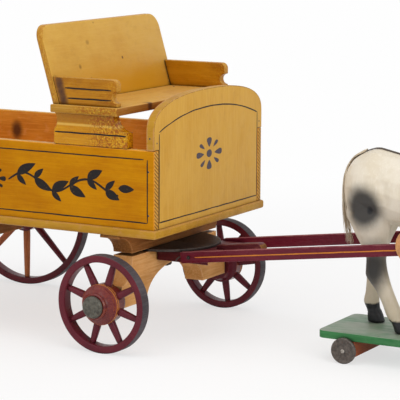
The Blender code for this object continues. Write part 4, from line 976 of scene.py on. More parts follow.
def merge(bm: Geometry, part: Geometry) -> None:
    """Add the geometry of a part.

    Args:
        bm: The geometry that grows.
        part: The part, which is freed.
    """
    shape = bpy.data.meshes.new("part")
    part.to_mesh(shape)
    part.free()
    bm.from_mesh(shape)
    bpy.data.meshes.remove(shape)


def tacks(name: str, places: Sequence[tuple], radius: float) -> None:
    """Set small domed iron nail heads into the wagon, as one piece.

    Args:
        name: The piece's name.
        places: Each head's place and the way that it faces.
        radius: The heads' radius.
    """
    bm = bmesh.new()
    for place, facing in places:
        outline = [(0.0, radius * 0.42), (radius * 0.6, radius * 0.34), (radius, 0.0), (0.0, -radius * 0.4)]
        head = turned(outline, 14)
        spin = LEFT.rotation_difference(Vector(facing)).to_matrix().to_4x4()
        head.transform(Matrix.Translation(Vector(place)) @ spin)
        merge(bm, head)
    put(mesh_of(name, bm, radians(60)), "wagon", [IRON])


@dataclass(frozen=True)
class PaintedFace:
    """A flat face that lines are painted on; a place on it is so far across and so far up."""

    origin: Vector
    across: Vector
    up: Vector

    def at(self, point: Sequence[float], proud: float) -> Vector:
        """The place of a point of the face, lifted off it."""
        out = self.across.cross(self.up)
        return self.origin + self.across * point[0] + self.up * point[1] + out * proud


def outer_face(node: str, side: Side) -> PaintedFace:
    """The face of a node that looks out of the wagon to a side.

    Args:
        node: The node.
        side: The side.

    Returns:
        The face, whose places across are counted from the middle of the wagon's length.
    """
    low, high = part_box(node)
    out = high.y if side is Side.LEFT else low.y
    return PaintedFace(Vector((0.0, out, 0.0)), Vector((-side.value, 0.0, 0.0)), UP)


class Brush:
    """Draws lines and shapes on flat faces as thin layers of paint, kept as one piece."""

    def __init__(self, face: PaintedFace) -> None:
        """Take up the brush for one face.

        Args:
            face: The face.
        """
        self.face = face
        self.bm = bmesh.new()
        self.top = PAINT_PROUD

    def shape(self, outline: Sequence[Sequence[float]]) -> None:
        """Fill a closed outline, a hair thicker than the shape before it."""
        loft(self.bm, [[self.face.at(place, at) for place in outline] for at in (-PAINT_LET_IN, self.top)])
        self.top += PAINT_LAYER

    def line(self, points: Sequence[Point], width: float, step: float = 0.003) -> None:
        """Draw a line, a little uneven as by hand and narrower at its ends.

        Args:
            points: The points.
            width: How wide it is.
            step: How far apart its small swings are.
        """
        path = [Vector(points[0])]
        for start, end in zip(points, points[1:]):
            start, end = Vector(start), Vector(end)
            pieces = max(1, round((end - start).length / step))
            path += [start.lerp(end, (index + 1) / pieces) for index in range(pieces)]
        left, right = [], []
        for index, point in enumerate(path):
            ahead = (path[min(index + 1, len(path) - 1)] - path[max(index - 1, 0)]).normalized()
            aside = Vector((-ahead.y, ahead.x))
            place = (point.x * 90, point.y * 90, width * 900)
            half = width / 2 * (1 + 0.28 * noise.noise(place))
            if index in (0, len(path) - 1):
                half *= 0.6
            drift = aside * width * 0.22 * noise.noise((place[1], place[0], 4.0))
            left.append(point + drift + aside * half)
            right.append(point + drift - aside * half)
        self.shape(left + right[::-1])

    def sides(self, corners: Sequence[Point], width: float) -> None:
        """Draw a line of its own from each corner to the next."""
        for start, end in zip(corners, corners[1:]):
            self.line([start, end], width)

    def leaf(self, base: Point, angle: float, length: float, width: float, bend: float = 0.0) -> None:
        """Paint a pointed leaf.

        Args:
            base: Where it grows from.
            angle: Which way it points.
            length: How long it is.
            width: How wide it is.
            bend: How far its tip is bent aside, as a share of its length.
        """
        ahead = Vector((cos(angle), sin(angle)))
        aside = Vector((-ahead.y, ahead.x))
        steps = 9
        left, right = [], []
        for index in range(steps + 1):
            share = index / steps
            half = width / 2 * sin(pi * share ** 0.8) ** 0.9 + width * 0.03
            middle = Vector(base) + ahead * length * share + aside * length * bend * share ** 2
            left.append(middle + aside * half)
            right.append(middle - aside * half)
        self.shape(left + right[::-1])

    def done(
        self, name: str, slot: str = "side_paint", finish: Finish = BLACK_LINE, body: str = "wagon"
    ) -> None:
        """Put all that was painted in the scene as one piece."""
        put(mesh_of(name, self.bm, radians(20)), body, [finish])


def rosette(brush: Brush, middle: Point, radius: float, stretch: float) -> None:
    """Paint a stencilled rosette: a centre oval, four broad petals and four slivers.

    Args:
        brush: The brush, on its face.
        middle: The rosette's middle on the face.
        radius: From the middle to the petals' outer ends, upwards.
        stretch: How much wider than tall it is.
    """
    def spread(points: Sequence[Vector]) -> list[Point]:
        """Put points of the round rosette in their place on the face."""
        return [(middle[0] + p.x * stretch, middle[1] + p.y) for p in points]

    brush.shape(spread([Vector((cos(a) * 0.21, sin(a) * 0.25)) * radius for a in circle(16)]))
    for index in range(8):
        broad = index % 2 == 0
        angle = pi / 4 * index + (0.0 if broad else 0.06)
        ahead = Vector((cos(angle), sin(angle)))
        aside = Vector((-ahead.y, ahead.x))
        inner, outer = (0.42, 1.02) if broad else (0.5, 1.0)
        half = 0.27 if broad else 0.16
        petal = []
        for a in circle(16):
            share = (1 + cos(a)) / 2
            swell = (0.22 + 0.78 * share) * fuller(sin(a))
            petal.append((ahead * (inner + (outer - inner) * share) + aside * half * swell) * radius)
        brush.shape(spread(petal))


# The wagon


@dataclass(frozen=True)
class WagonBox:
    """The open box: floor, sides, arched front and tail board, with their painted lines."""

    line_width: float = 0.001
    side_inset_front: float = 0.0062
    side_inset_rear: float = 0.007
    side_inset_top: float = 0.0072
    side_inset_bottom: float = 0.0055
    front_inset: float = 0.0082
    front_line_bottom: float = 0.0052
    front_line_spring: float = 0.179
    front_line_top: float = 0.1922
    rosette_place: Point = (-0.0016, 0.153)
    rosette_radius: float = 0.013
    rosette_stretch: float = 1.62
    hand_slip: float = 0.0014
    corner_gap: float = 0.0034
    small_rosette: float = 0.0105
    nail_radius: float = 0.00075
    nail_heights: Point = (0.113, 0.148)
    nail_from_front: float = 0.0052
    nail_from_rear: float = 0.0036
    shoulder_nail: Point = (0.004, 0.1745)
    front_nail: Point = (0.0045, 0.1707)
    tail_inset: float = 0.007
    vine_reach: float = 0.122
    vine_wave: float = 0.061
    vine_height: float = 0.007
    vine_start: float = 0.016
    stem_width: float = 0.0017
    stem_steps: int = 44
    leaf_angle: float = radians(38)
    leaf_bend: float = 0.16
    opposite_angle: float = radians(52)
    opposite_leaf: Triple = (0.0118, 0.0048, 0.14)
    tip_leaf: Point = (0.0145, 0.0062)

    def build(self) -> None:
        """Build and dress the whole box."""
        self.boards()
        self.front_lines()
        for side in Side:
            self.side_lines(side)
        self.tail_lines()
        self.nail_heads()

    def boards(self) -> None:
        """Refinish the five boards, each face with its own finish."""
        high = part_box("floor_board")[1]
        refinish(
            "floor_board", "wagon", [FLOOR_EDGE, PINE], 0.0004,
            lambda n, m: int(abs(n.z) > FACING and abs(m.y) < high.y - 0.004 and m.x < high.x - 0.004),
        )
        for side in Side:
            out = side.value
            refinish(
                f"side_panel_{side.word}", "wagon", [MUSTARD, PINE, BOARD_ENDS, BUFF], 0.0007,
                lambda n, m: 2 if abs(n.x) > FACING else (3 if n.z > FACING else int(n.y * out < FACING)),
            )
        refinish(
            "front_board", "wagon", [BUFF, PINE, FLOOR_EDGE], 0.0008,
            lambda n, m: 1 if n.x < -FACING else (2 if abs(n.x) < 0.5 and m.z > 0.16 else 0),
        )
        refinish(
            "tail_board", "wagon", [MUSTARD, PINE, FLOOR_EDGE], 0.0007,
            lambda n, m: 1 if n.x > FACING else (2 if n.z > FACING else 0),
        )

    def front_lines(self) -> None:
        """Paint the front's line round its edge and the rosette in its middle."""
        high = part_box("front_board")[1]
        brush = Brush(PaintedFace(Vector((high.x, 0.0, 0.0)), LEFT, UP))
        half = high.y - self.front_inset
        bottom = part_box("floor_board")[1].z + self.front_line_bottom
        rise = self.front_line_top - self.front_line_spring
        arch = []
        for step in range(33):
            share = step / 16 - 1
            arch.append((share * half, self.front_line_spring + rise * (1 - abs(share) ** 2.2)))
        brush.line(arch, self.line_width)
        start = (-half, self.front_line_spring - self.hand_slip)
        end = (half, self.front_line_spring)
        brush.sides([start, (-half, bottom), (half, bottom), end], self.line_width)
        brush.done("front_line", "front_paint")
        brush = Brush(brush.face)
        rosette(brush, self.rosette_place, self.rosette_radius, self.rosette_stretch)
        brush.done("front_rosette", "front_paint", STENCIL)

    def side_lines(self, side: Side) -> None:
        """Paint a side panel's line and the running vine inside it.

        Args:
            side: The panel's side.
        """
        low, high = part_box(f"side_panel_{side.word}")
        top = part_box("floor_board")[1].z
        brush = Brush(outer_face(f"side_panel_{side.word}", side))
        turn = -side.value
        front, rear = (high.x - self.side_inset_front) * turn, (low.x + self.side_inset_rear) * turn
        up, down = high.z - self.side_inset_top, top + self.side_inset_bottom
        brush.line([(rear, up), (front - self.corner_gap * turn, up)], self.line_width)
        brush.sides([(front, up), (front, down), (rear, down), (rear, up)], self.line_width)
        brush.done(f"side_line_{side.word}")
        brush = Brush(brush.face)
        self.vine(brush, (low.x + high.x) / 2 * turn, (up + down) / 2)
        brush.done(f"side_vine_{side.word}")

    def vine(self, brush: Brush, middle: float, height: float) -> None:
        """Paint a running vine that grows both ways from a rosette.

        Args:
            brush: The brush, on the panel's face.
            middle: The panel's middle across the face.
            height: The middle of the painted field up the face.
        """
        rosette(brush, (middle, height), self.small_rosette, 1.25)
        start = self.vine_start
        for way in (-1, 1):
            stem = []
            for index in range(self.stem_steps + 1):
                along = start + (self.vine_reach - start) * index / self.stem_steps
                fade = 1 - 0.25 * index / self.stem_steps
                up = self.vine_height * fade * sin(2 * pi * (along - start) / self.vine_wave)
                stem.append((middle + way * along, height + up))
            brush.line(stem, self.stem_width)
            for index in range(1, 7):
                along = start + self.vine_wave / 4 * (index * 1.12 - 0.55)
                if along > self.vine_reach - 0.004:
                    break
                phase = 2 * pi * (along - start) / self.vine_wave
                up = self.vine_height * 0.9 * sin(phase)
                lift = 1 if index % 2 else -1
                angle = self.leaf_angle * lift
                heading = angle if way > 0 else pi - angle
                place = (middle + way * along, height + up)
                brush.leaf(place, heading, 0.0215 - 0.0012 * index, 0.0072, -self.leaf_bend * lift * way)
                angle = -self.opposite_angle * lift
                heading = angle if way > 0 else pi - angle
                length, width, bend = self.opposite_leaf
                brush.leaf(place, heading, length, width, bend * lift * way)
            tip = (middle + way * self.vine_reach, height + self.vine_height * 0.1)
            brush.leaf(tip, 0.0 if way > 0 else pi, *self.tip_leaf)

    def tail_lines(self) -> None:
        """Paint a plain line and a small rosette on the tail board."""
        low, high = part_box("tail_board")
        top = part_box("floor_board")[1].z
        brush = Brush(PaintedFace(Vector((low.x, 0.0, 0.0)), -LEFT, UP))
        half = high.y - self.tail_inset
        up, down = high.z - self.side_inset_top, top + self.side_inset_bottom
        brush.sides([(-half, up), (half, up), (half, down), (-half, down), (-half, up)], self.line_width)
        rosette(brush, (0.0, (up + down) / 2), self.small_rosette, 1.5)
        brush.done("tail_line")

    def nail_heads(self) -> None:
        """Set the small sunk nail heads that hold the boards together."""
        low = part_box("side_panel_right")[0]
        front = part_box("front_board")[1]
        places = []
        for side in Side:
            y = -side.value * low.y
            out = (0.0, side.value, 0.0)
            for z in self.nail_heights:
                places.append(((front.x - self.nail_from_front, y, z), out))
                places.append(((low.x + self.nail_from_rear, y, z), out))
            back, z = self.shoulder_nail
            places.append(((front.x - back, side.value * front.y, z), out))
            inside, z = self.front_nail
            places.append(((front.x, side.value * (front.y - inside), z), Axis.X.value))
        tacks("box_nails", places, self.nail_radius)


@dataclass(frozen=True)
class DriversSeat:
    """The bench: crackled risers, seat, leaning back and two striped arms."""

    stripe_width: float = 0.0012
    arm_stripes: Point = (0.0085, 0.0165)
    riser_stripe: float = 0.0098
    arm_lean: float = 0.29
    stripe_from_rear: float = 0.0095
    stripe_from_front: float = 0.0052
    nail_radius: float = 0.0009
    nail_inside: float = 0.012
    nail_from_rear: float = 0.016
    nail_from_front: float = 0.024

    def build(self) -> None:
        """Build and dress the seat."""
        seat_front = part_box("seat_board")[1].x
        bench = PaintedWood(
            "buff_seat", (208, 160, 76), (180, 122, 42), (222, 176, 98), grain=Axis.Y, wear=0.9,
            edge=0.0014, roughness=0.45, streaks=0.45, bare=(124, 80, 38), blotch=0.12,
            stains_and_light=(Stain((seat_front, -0.045, 0.195), (0.006, 0.0032, 0.0042)),),
        )
        bench_edge = PaintedWood(
            "bench_edge", (158, 104, 40), (128, 78, 24), (184, 130, 64), grain=Axis.Y, wear=0.8,
            bare=(196, 150, 100), edge=0.0008, streaks=0.5, stains_and_light=bench.stains_and_light,
        )
        arm_low, arm_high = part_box("seat_arm_right")
        # Painted shadow, dark purple-brown, down the arm's rear end where it meets the back.
        joint_shade = tuple(
            Stain(
                (arm_low.x + 0.005 + self.arm_lean * drop, arm_low.y, arm_high.z - drop),
                (0.0034, 0.003, 0.006), (72, 44, 34), 0.75,
            )
            for drop in (0.003, 0.009, 0.015, 0.021)
        )
        arm = PaintedWood(
            "mustard_arm", (184, 122, 16), (146, 86, 4), (206, 150, 40), wear=0.95, edge=0.0018,
            roughness=0.32, bare=(112, 64, 26), coat=0.1, crackle=0.35, crackle_from=-0.046, mottling=0.9,
            stains_and_light=joint_shade,
        )
        refinish(
            "seat_board", "wagon", [bench, bench_edge, BENCH_SIDE], 0.0008,
            lambda n, m: 1 if n.x > FACING else (2 if abs(n.y) > FACING else 0),
        )
        refinish(
            "seat_back", "wagon", [SEAT_BACK, WORN_END], 0.0009,
            lambda n, m: int(abs(n.y) > 0.6 or n.z > 0.8),
        )
        for side in Side:
            refinish(f"seat_riser_{side.word}", "wagon", [CRACKLED_RISER], 0.0008)
            refinish(
                f"seat_arm_{side.word}", "wagon", [arm, WORN_END], 0.0008,
                lambda n, m: int(n.z > 0.7 or n.x > 0.7),
            )
            self.stripes(side)
        self.nail_heads()

    def stripes(self, side: Side) -> None:
        """Paint the black stripes on an arm's outer face and on its riser's foot.

        Args:
            side: Their side.
        """
        turn = -side.value
        low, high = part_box(f"seat_arm_{side.word}")
        brush = Brush(outer_face(f"seat_arm_{side.word}", side))
        for drop in self.arm_stripes:
            z = high.z - drop
            rear = low.x + self.stripe_from_rear + self.arm_lean * drop
            brush.line([(rear * turn, z), ((high.x - self.stripe_from_front) * turn, z)], self.stripe_width)
        brush.done(f"arm_stripes_{side.word}")
        low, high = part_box(f"seat_riser_{side.word}")
        brush = Brush(outer_face(f"seat_riser_{side.word}", side))
        z = low.z + self.riser_stripe
        brush.line([((low.x + 0.001) * turn, z), ((high.x - 0.001) * turn, z)], self.stripe_width)
        brush.done(f"riser_stripe_{side.word}")

    def nail_heads(self) -> None:
        """Set the nail heads that fix the seat to its risers."""
        places = []
        for side in Side:
            low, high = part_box(f"seat_riser_{side.word}")
            seat_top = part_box("seat_board")[1].z
            y = side.value * ((abs(low.y) + abs(high.y)) / 2 - self.nail_inside)
            for x in (low.x + self.nail_from_rear, high.x - self.nail_from_front):
                places.append(((x, y, seat_top), Axis.Z.value))
        tacks("seat_nails", places, self.nail_radius)


@dataclass(frozen=True)
class RunningGear:
    """What carries the box: bolsters, turning plate, bolt, draw board and its hinge."""

    front_face: float = 0.004
    hook_wire: float = 0.0006
    hook_bends: tuple[Point, ...] = ((0.001, 0.0716), (-0.0014, 0.0712), (-0.0036, 0.0698), (-0.0056, 0.0676))

    def build(self) -> None:
        """Build and dress the running gear."""
        # The upper and rear bolsters take the darker copy of the paint, as painted shade.
        for node, body, paint in (
            ("upper_bolster", "wagon", SHADED_BOLSTER), ("rear_bolster", "wagon", SHADED_BOLSTER),
            ("lower_bolster", "front_gear", BOLSTER),
        ):
            refinish(node, body, [paint], 0.0006)
        for node, front in (("draw_board", BOLSTER), ("centre_bar", SHADED_BOLSTER)):
            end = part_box(node)[1].x - self.front_face
            refinish(
                node, "front_gear", [GEAR_MAROON, front], 0.0006,
                lambda n, m: int(n.x > 0.5 and m.x > end),
            )
        for node, body in (
            ("kingpin", "wagon"), ("kingpin_nut", "wagon"), ("fifth_wheel_plate", "front_gear"),
            ("shaft_hinge_rod", "front_gear"),
        ):
            refinish(node, body, [IRON], 0.0003)
        self.hook()

    def hook(self) -> None:
        """Bend the wire ends that stick out behind the shafts."""
        low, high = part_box("shaft_right")
        bm = bmesh.new()
        for side in Side:
            y = side.value * (abs(low.y) + abs(high.y)) / 2
            path = curve_through([Vector((low.x + along, y, z)) for along, z in self.hook_bends], 5)
            tube(bm, path, [self.hook_wire] * len(path), 8)
        put(mesh_of("hinge_wire_hooks", bm), "front_gear", [IRON])


@dataclass(frozen=True)
class WagonWheel:
    """One wagon wheel: bent rim, eight spokes, turned hub and the domed peg it turns on."""

    end: str
    side: Side
    spoke_angle: float
    raw_spokes: tuple[int, ...] = ()
    spokes: int = 8
    rim_depth: float = 0.006
    hub_radius: float = 0.0165
    nose_radius: float = 0.0108
    heel_radius: float = 0.0125
    band_half: float = 0.006
    peg_radius: float = 0.003
    clearance: float = 0.0003
    rim_rounding: float = 0.0013
    unevenness: float = 0.00018
    spoke_seat: float = 0.004
    spoke_shape: tuple[Triple, ...] = (
        (0.0, 0.0029, 0.0031), (0.16, 0.0031, 0.0032), (0.4, 0.003, 0.0029), (0.7, 0.0027, 0.0026),
        (0.93, 0.0024, 0.0024), (1.0, 0.0022, 0.0023),
    )
    ring_places: Point = (0.0008, 0.0032)
    ring_proud: float = 0.00005
    peg_dome: float = 0.0028
    peg_skirt: float = 0.004

    @property
    def body(self) -> str:
        """The body that the wheel is."""
        return f"{self.end}_{self.side.word}_wheel"

    def build(self) -> None:
        """Build and dress the wheel."""
        centre, radius, half = round_size(self.body + "_rim")
        self.rim(centre, radius, half)
        self.hub_and_spokes(centre, radius)
        self.peg(centre)

    def rim(self, centre: Vector, radius: float, half: float) -> None:
        """Turn the rim, its tread slate grey and its faces maroon.

        Args:
            centre: The wheel's centre.
            radius: Its outer radius.
            half: Half its width.
        """
        inner = radius - self.rim_depth
        outline = [(radius, half), (radius, -half), (inner, -half), (inner, half)]
        outline = rounded(outline, self.rim_rounding, 4)
        bm = turned(outline, 120, lambda r, a: int(r > radius - 0.0003))
        for vert in bm.verts:
            place = vert.co / 0.02
            vert.co += vert.co.normalized() * self.unevenness * noise.noise(place)
            vert.co *= min(1.0, radius / max(hypot(vert.co.x, vert.co.z), WELD))
        mesh = mesh_of(self.body + "_bent_rim", bm)
        put(mesh, self.body, [WHEEL_MAROON, TREAD], [self.body + "_rim"], centre)

    def hub_and_spokes(self, centre: Vector, radius: float) -> None:
        """Turn the hub with its beads and gold rings, and let the spokes into it.

        Args:
            centre: The wheel's centre.
            radius: The wheel's outer radius.
        """
        low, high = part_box(self.body + "_hub_and_spokes")
        out = self.side.value
        nose = (high.y if out > 0 else low.y) * out - centre.y * out
        heel = centre.y * out - (low.y if out > 0 else high.y) * out
        bore = self.peg_radius + self.clearance
        edge, band, tip, back = self.hub_radius, self.band_half, self.nose_radius, self.heel_radius
        outline = [
            (bore, nose), (tip - 0.0008, nose), (tip, nose - 0.001), (tip, nose - 0.003),
            (tip - 0.001, nose - 0.0036), (tip + 0.0006, nose - 0.0056), (edge - 0.0016, band + 0.0014),
            (edge - 0.0014, band + 0.0006), (edge, band - 0.0004), (edge, band - 0.0016),
            (edge - 0.0004, band - 0.002), (edge, band - 0.0024), (edge, 0.0006 - band),
            (edge - 0.0012, -band), (back + 0.001, -heel + 0.004), (back, -heel), (bore, -heel),
        ]
        bm = turned([(r, out * a) for r, a in outline], 64, lambda r, a: int(out * a < -band / 2))
        end = radius - self.rim_depth - 0.0001
        start = edge - self.spoke_seat
        for index, turn in enumerate(circle(self.spokes)):
            angle = self.spoke_angle + turn
            ahead = Vector((cos(angle), 0.0, -out * sin(angle)))
            aside = LEFT.cross(ahead)
            rings = []
            for share, wide, thick in self.spoke_shape:
                middle = ahead * (start + (end - start) * share)
                rings.append([
                    middle + aside * wide * fuller(cos(a)) + LEFT * thick * fuller(sin(a)) for a in circle(16)
                ])
            for face in loft(bm, rings):
                face.material_index = 2 if index in self.raw_spokes else 1
        mesh = mesh_of(self.body + "_turned_hub", bm)
        finishes = [HUB_RED, WHEEL_MAROON, BARE_SPOKE]
        put(mesh, self.body, finishes, [self.body + "_hub_and_spokes"], centre)
        rings = bmesh.new()
        proud = edge + self.ring_proud
        for inside in self.ring_places:
            along = band - inside
            merge(rings, turned([
                (edge - 0.0002, out * (along - 0.0005)), (proud, out * (along - 0.0004)),
                (proud, out * (along + 0.0004)), (edge - 0.0002, out * (along + 0.0005)),
            ], 64))
        put(mesh_of(self.body + "_gold_rings", rings), self.body, [GOLD_LINE], (), centre)

    def peg(self, centre: Vector) -> None:
        """Turn the peg with its short skirt and dome.

        Args:
            centre: The wheel's centre.
        """
        node = f"{self.end}_{self.side.word}_wheel_peg"
        low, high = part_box(node)
        out = self.side.value
        reach = (high.y if out > 0 else -low.y) - abs(centre.y)
        tail = (low.y if out > 0 else -high.y) - abs(centre.y)
        cap = (high.z - low.z) / 2
        outline = [(0.0, reach)]
        for step in range(1, 9):
            angle = pi / 2 * step / 8
            outline.append((cap * sin(angle) * 0.985, reach - self.peg_dome * (1 - cos(angle))))
        skirt = reach - self.peg_skirt
        outline += [(cap, reach - 0.0032), (cap, skirt), (self.peg_radius, skirt)]
        outline += [(self.peg_radius, tail), (0.0, tail)]
        bm = turned([(r, out * a) for r, a in outline], 48)
        body = "wagon" if self.end == "rear" else "front_gear"
        put(mesh_of(node + "_domed", bm), body, [PEG_CAP], [node], centre)


@dataclass(frozen=True)
class Shafts:
    """The two shafts with the gold line along each."""

    line_width: float = 0.0009
    line_from_hinge: float = 0.006
    line_from_end: float = 0.004
    tilt: float = radians(7.33)

    def build(self) -> None:
        """Build and dress both shafts."""
        for side in Side:
            node = f"shaft_{side.word}"
            # The top faces take the lighter pink: rubbed paint and painted sheen.
            refinish(node, "shafts", [SHAFT_MAROON, SHEEN_AND_RUBBED_SHAFT], 0.0006, faces_up)
            self.gold_line(side)

    def gold_line(self, side: Side) -> None:
        """Paint the gold line along the middle of a shaft's outer face.

        Args:
            side: The shaft's side.
        """
        node = f"shaft_{side.word}"
        hinge = sum(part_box("shaft_hinge_rod"), Vector()) / 2
        turn = -side.value
        out = outer_face(node, side).origin.y
        along = Vector((turn * cos(self.tilt), 0.0, turn * sin(self.tilt)))
        upwards = Vector((-sin(self.tilt), 0.0, cos(self.tilt)))
        brush = Brush(PaintedFace(Vector((hinge.x, out, hinge.z)), along, upwards))
        length = (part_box(node)[1].x - hinge.x) / cos(self.tilt)
        ends = [(self.line_from_hinge * turn, 0.0), ((length - self.line_from_end) * turn, 0.0)]
        brush.line(ends, self.line_width, 0.004)
        brush.done(f"shaft_line_{side.word}", "shaft_paint", GOLD_LINE, "shafts")


# The horse


@dataclass(frozen=True)
class Platform:
    """The horse's green board on its axle blocks and four disc wheels."""

    dish: float = 0.0004

    def build(self) -> None:
        """Build and dress the platform."""
        refinish("platform_board", "horse", [GREEN, FADED_GREEN], 0.0007, faces_up)
        for end in ("rear", "front"):
            refinish(f"platform_axle_block_{end}", "horse", [BLOCK_STAIN], 0.0005)
            for side in Side:
                refinish(f"platform_nail_{end}_{side.word}", "horse", [STEEL], 0.0001)
                self.disc(f"platform_wheel_{end}_{side.word}", side)

    def disc(self, node: str, side: Side) -> None:
        """Turn a disc wheel with a rolled edge and a slightly dished face.

        Args:
            node: The wheel's node, also the name of its body.
            side: Its side.
        """
        centre, radius, half = round_size(node)
        bore = 0.0012
        outline = [
            (bore, half - 0.0002), (0.0032, half - 0.0002), (0.0038, half - self.dish - 0.0002),
            (radius - 0.0024, half - self.dish - 0.0002), (radius - 0.0014, half), (radius - 0.0005, half),
            (radius, half - 0.0005), (radius, 0.0005 - half), (radius - 0.0005, -half), (bore, -half),
        ]
        bm = turned([(r, side.value * a) for r, a in outline], 56)
        put(mesh_of(node + "_turned", bm), node, [DARK_TIN], [node], centre)


class Sculptor:
    """Moves the points of a dense mesh with soft strokes, the same on both sides."""

    def __init__(self, mesh: bpy.types.Mesh, origin: Vector) -> None:
        """Take up a mesh.

        Args:
            mesh: The mesh.
            origin: The point that strokes are measured from.
        """
        self.mesh = mesh
        self.origin = np.array(origin)
        self.points = np.empty(3 * len(mesh.vertices), dtype=np.float32)
        self.normals = np.empty_like(self.points)
        mesh.vertices.foreach_get("co", self.points)
        mesh.vertex_normals.foreach_get("vector", self.normals)
        self.points = self.points.reshape(-1, 3)
        self.normals = self.normals.reshape(-1, 3)

    def stroke(self, line: Sequence[tuple], radius: float, height: float) -> None:
        """Raise or sink the skin along a line of points, all in millimetres.

        Args:
            line: The line on the left side; a single point makes a round swelling.
            radius: How far from the line the skin moves.
            height: How far it moves at the line, inwards where negative.
        """
        for side in Side:
            places = self.origin + np.array(line) * MM * (1.0, side.value, 1.0)
            nearest = np.linalg.norm(self.points - places[0], axis=1)
            for start, end in zip(places, places[1:]):
                run = end - start
                share = np.clip((self.points - start) @ run / (run @ run), 0.0, 1.0)
                foot = start + share[:, None] * run
                nearest = np.minimum(nearest, np.linalg.norm(self.points - foot, axis=1))
            self.lift(height * MM * np.exp(-(nearest / (radius * MM)) ** 2))

    def lift(self, heights: np.ndarray) -> None:
        """Move every point out of the skin by its own height."""
        self.points += self.normals * heights[:, None]

    def done(self) -> None:
        """Give the worked points back to the mesh."""
        self.mesh.vertices.foreach_set("co", self.points.astype(np.float32).ravel())
        self.mesh.update()


class Skin:
    """The horse's finished skin, which straps and hair are laid on."""

    def __init__(self, mesh: bpy.types.Mesh) -> None:
        """Index the skin for finding places on it."""
        corners = [vert.co.copy() for vert in mesh.vertices]
        self.tree = BVHTree.FromPolygons(corners, [tuple(face.vertices) for face in mesh.polygons])

    def point(self, start: Vector, aim: Vector) -> Vector | None:
        """The place where a line from a start inside the body leaves the skin."""
        return self.tree.ray_cast(start, aim)[0]

    def cling(self, place: Vector, lift: float) -> Vector:
        """The place that lies off the skin by the lift, nearest to the one given."""
        spot, normal, _, _ = self.tree.find_nearest(place)
        return spot + normal * lift

    def near(self, place: Vector, lift: float) -> Vector:
        """A place moved so that it lies off the skin by at least the lift."""
        spot, normal, _, _ = self.tree.find_nearest(place)
        return place if (place - spot).dot(normal) >= lift else spot + normal * lift

    def drape(self, place: Vector, lift: float, free: float) -> Vector:
        """A place between one clinging to the skin and one hanging free, by a share of freedom."""
        return self.cling(place, lift).lerp(self.near(place, lift), free)


HORSE_LEGS = [f"horse_{end}_leg_{side.word}" for end in ("hind", "fore") for side in Side]


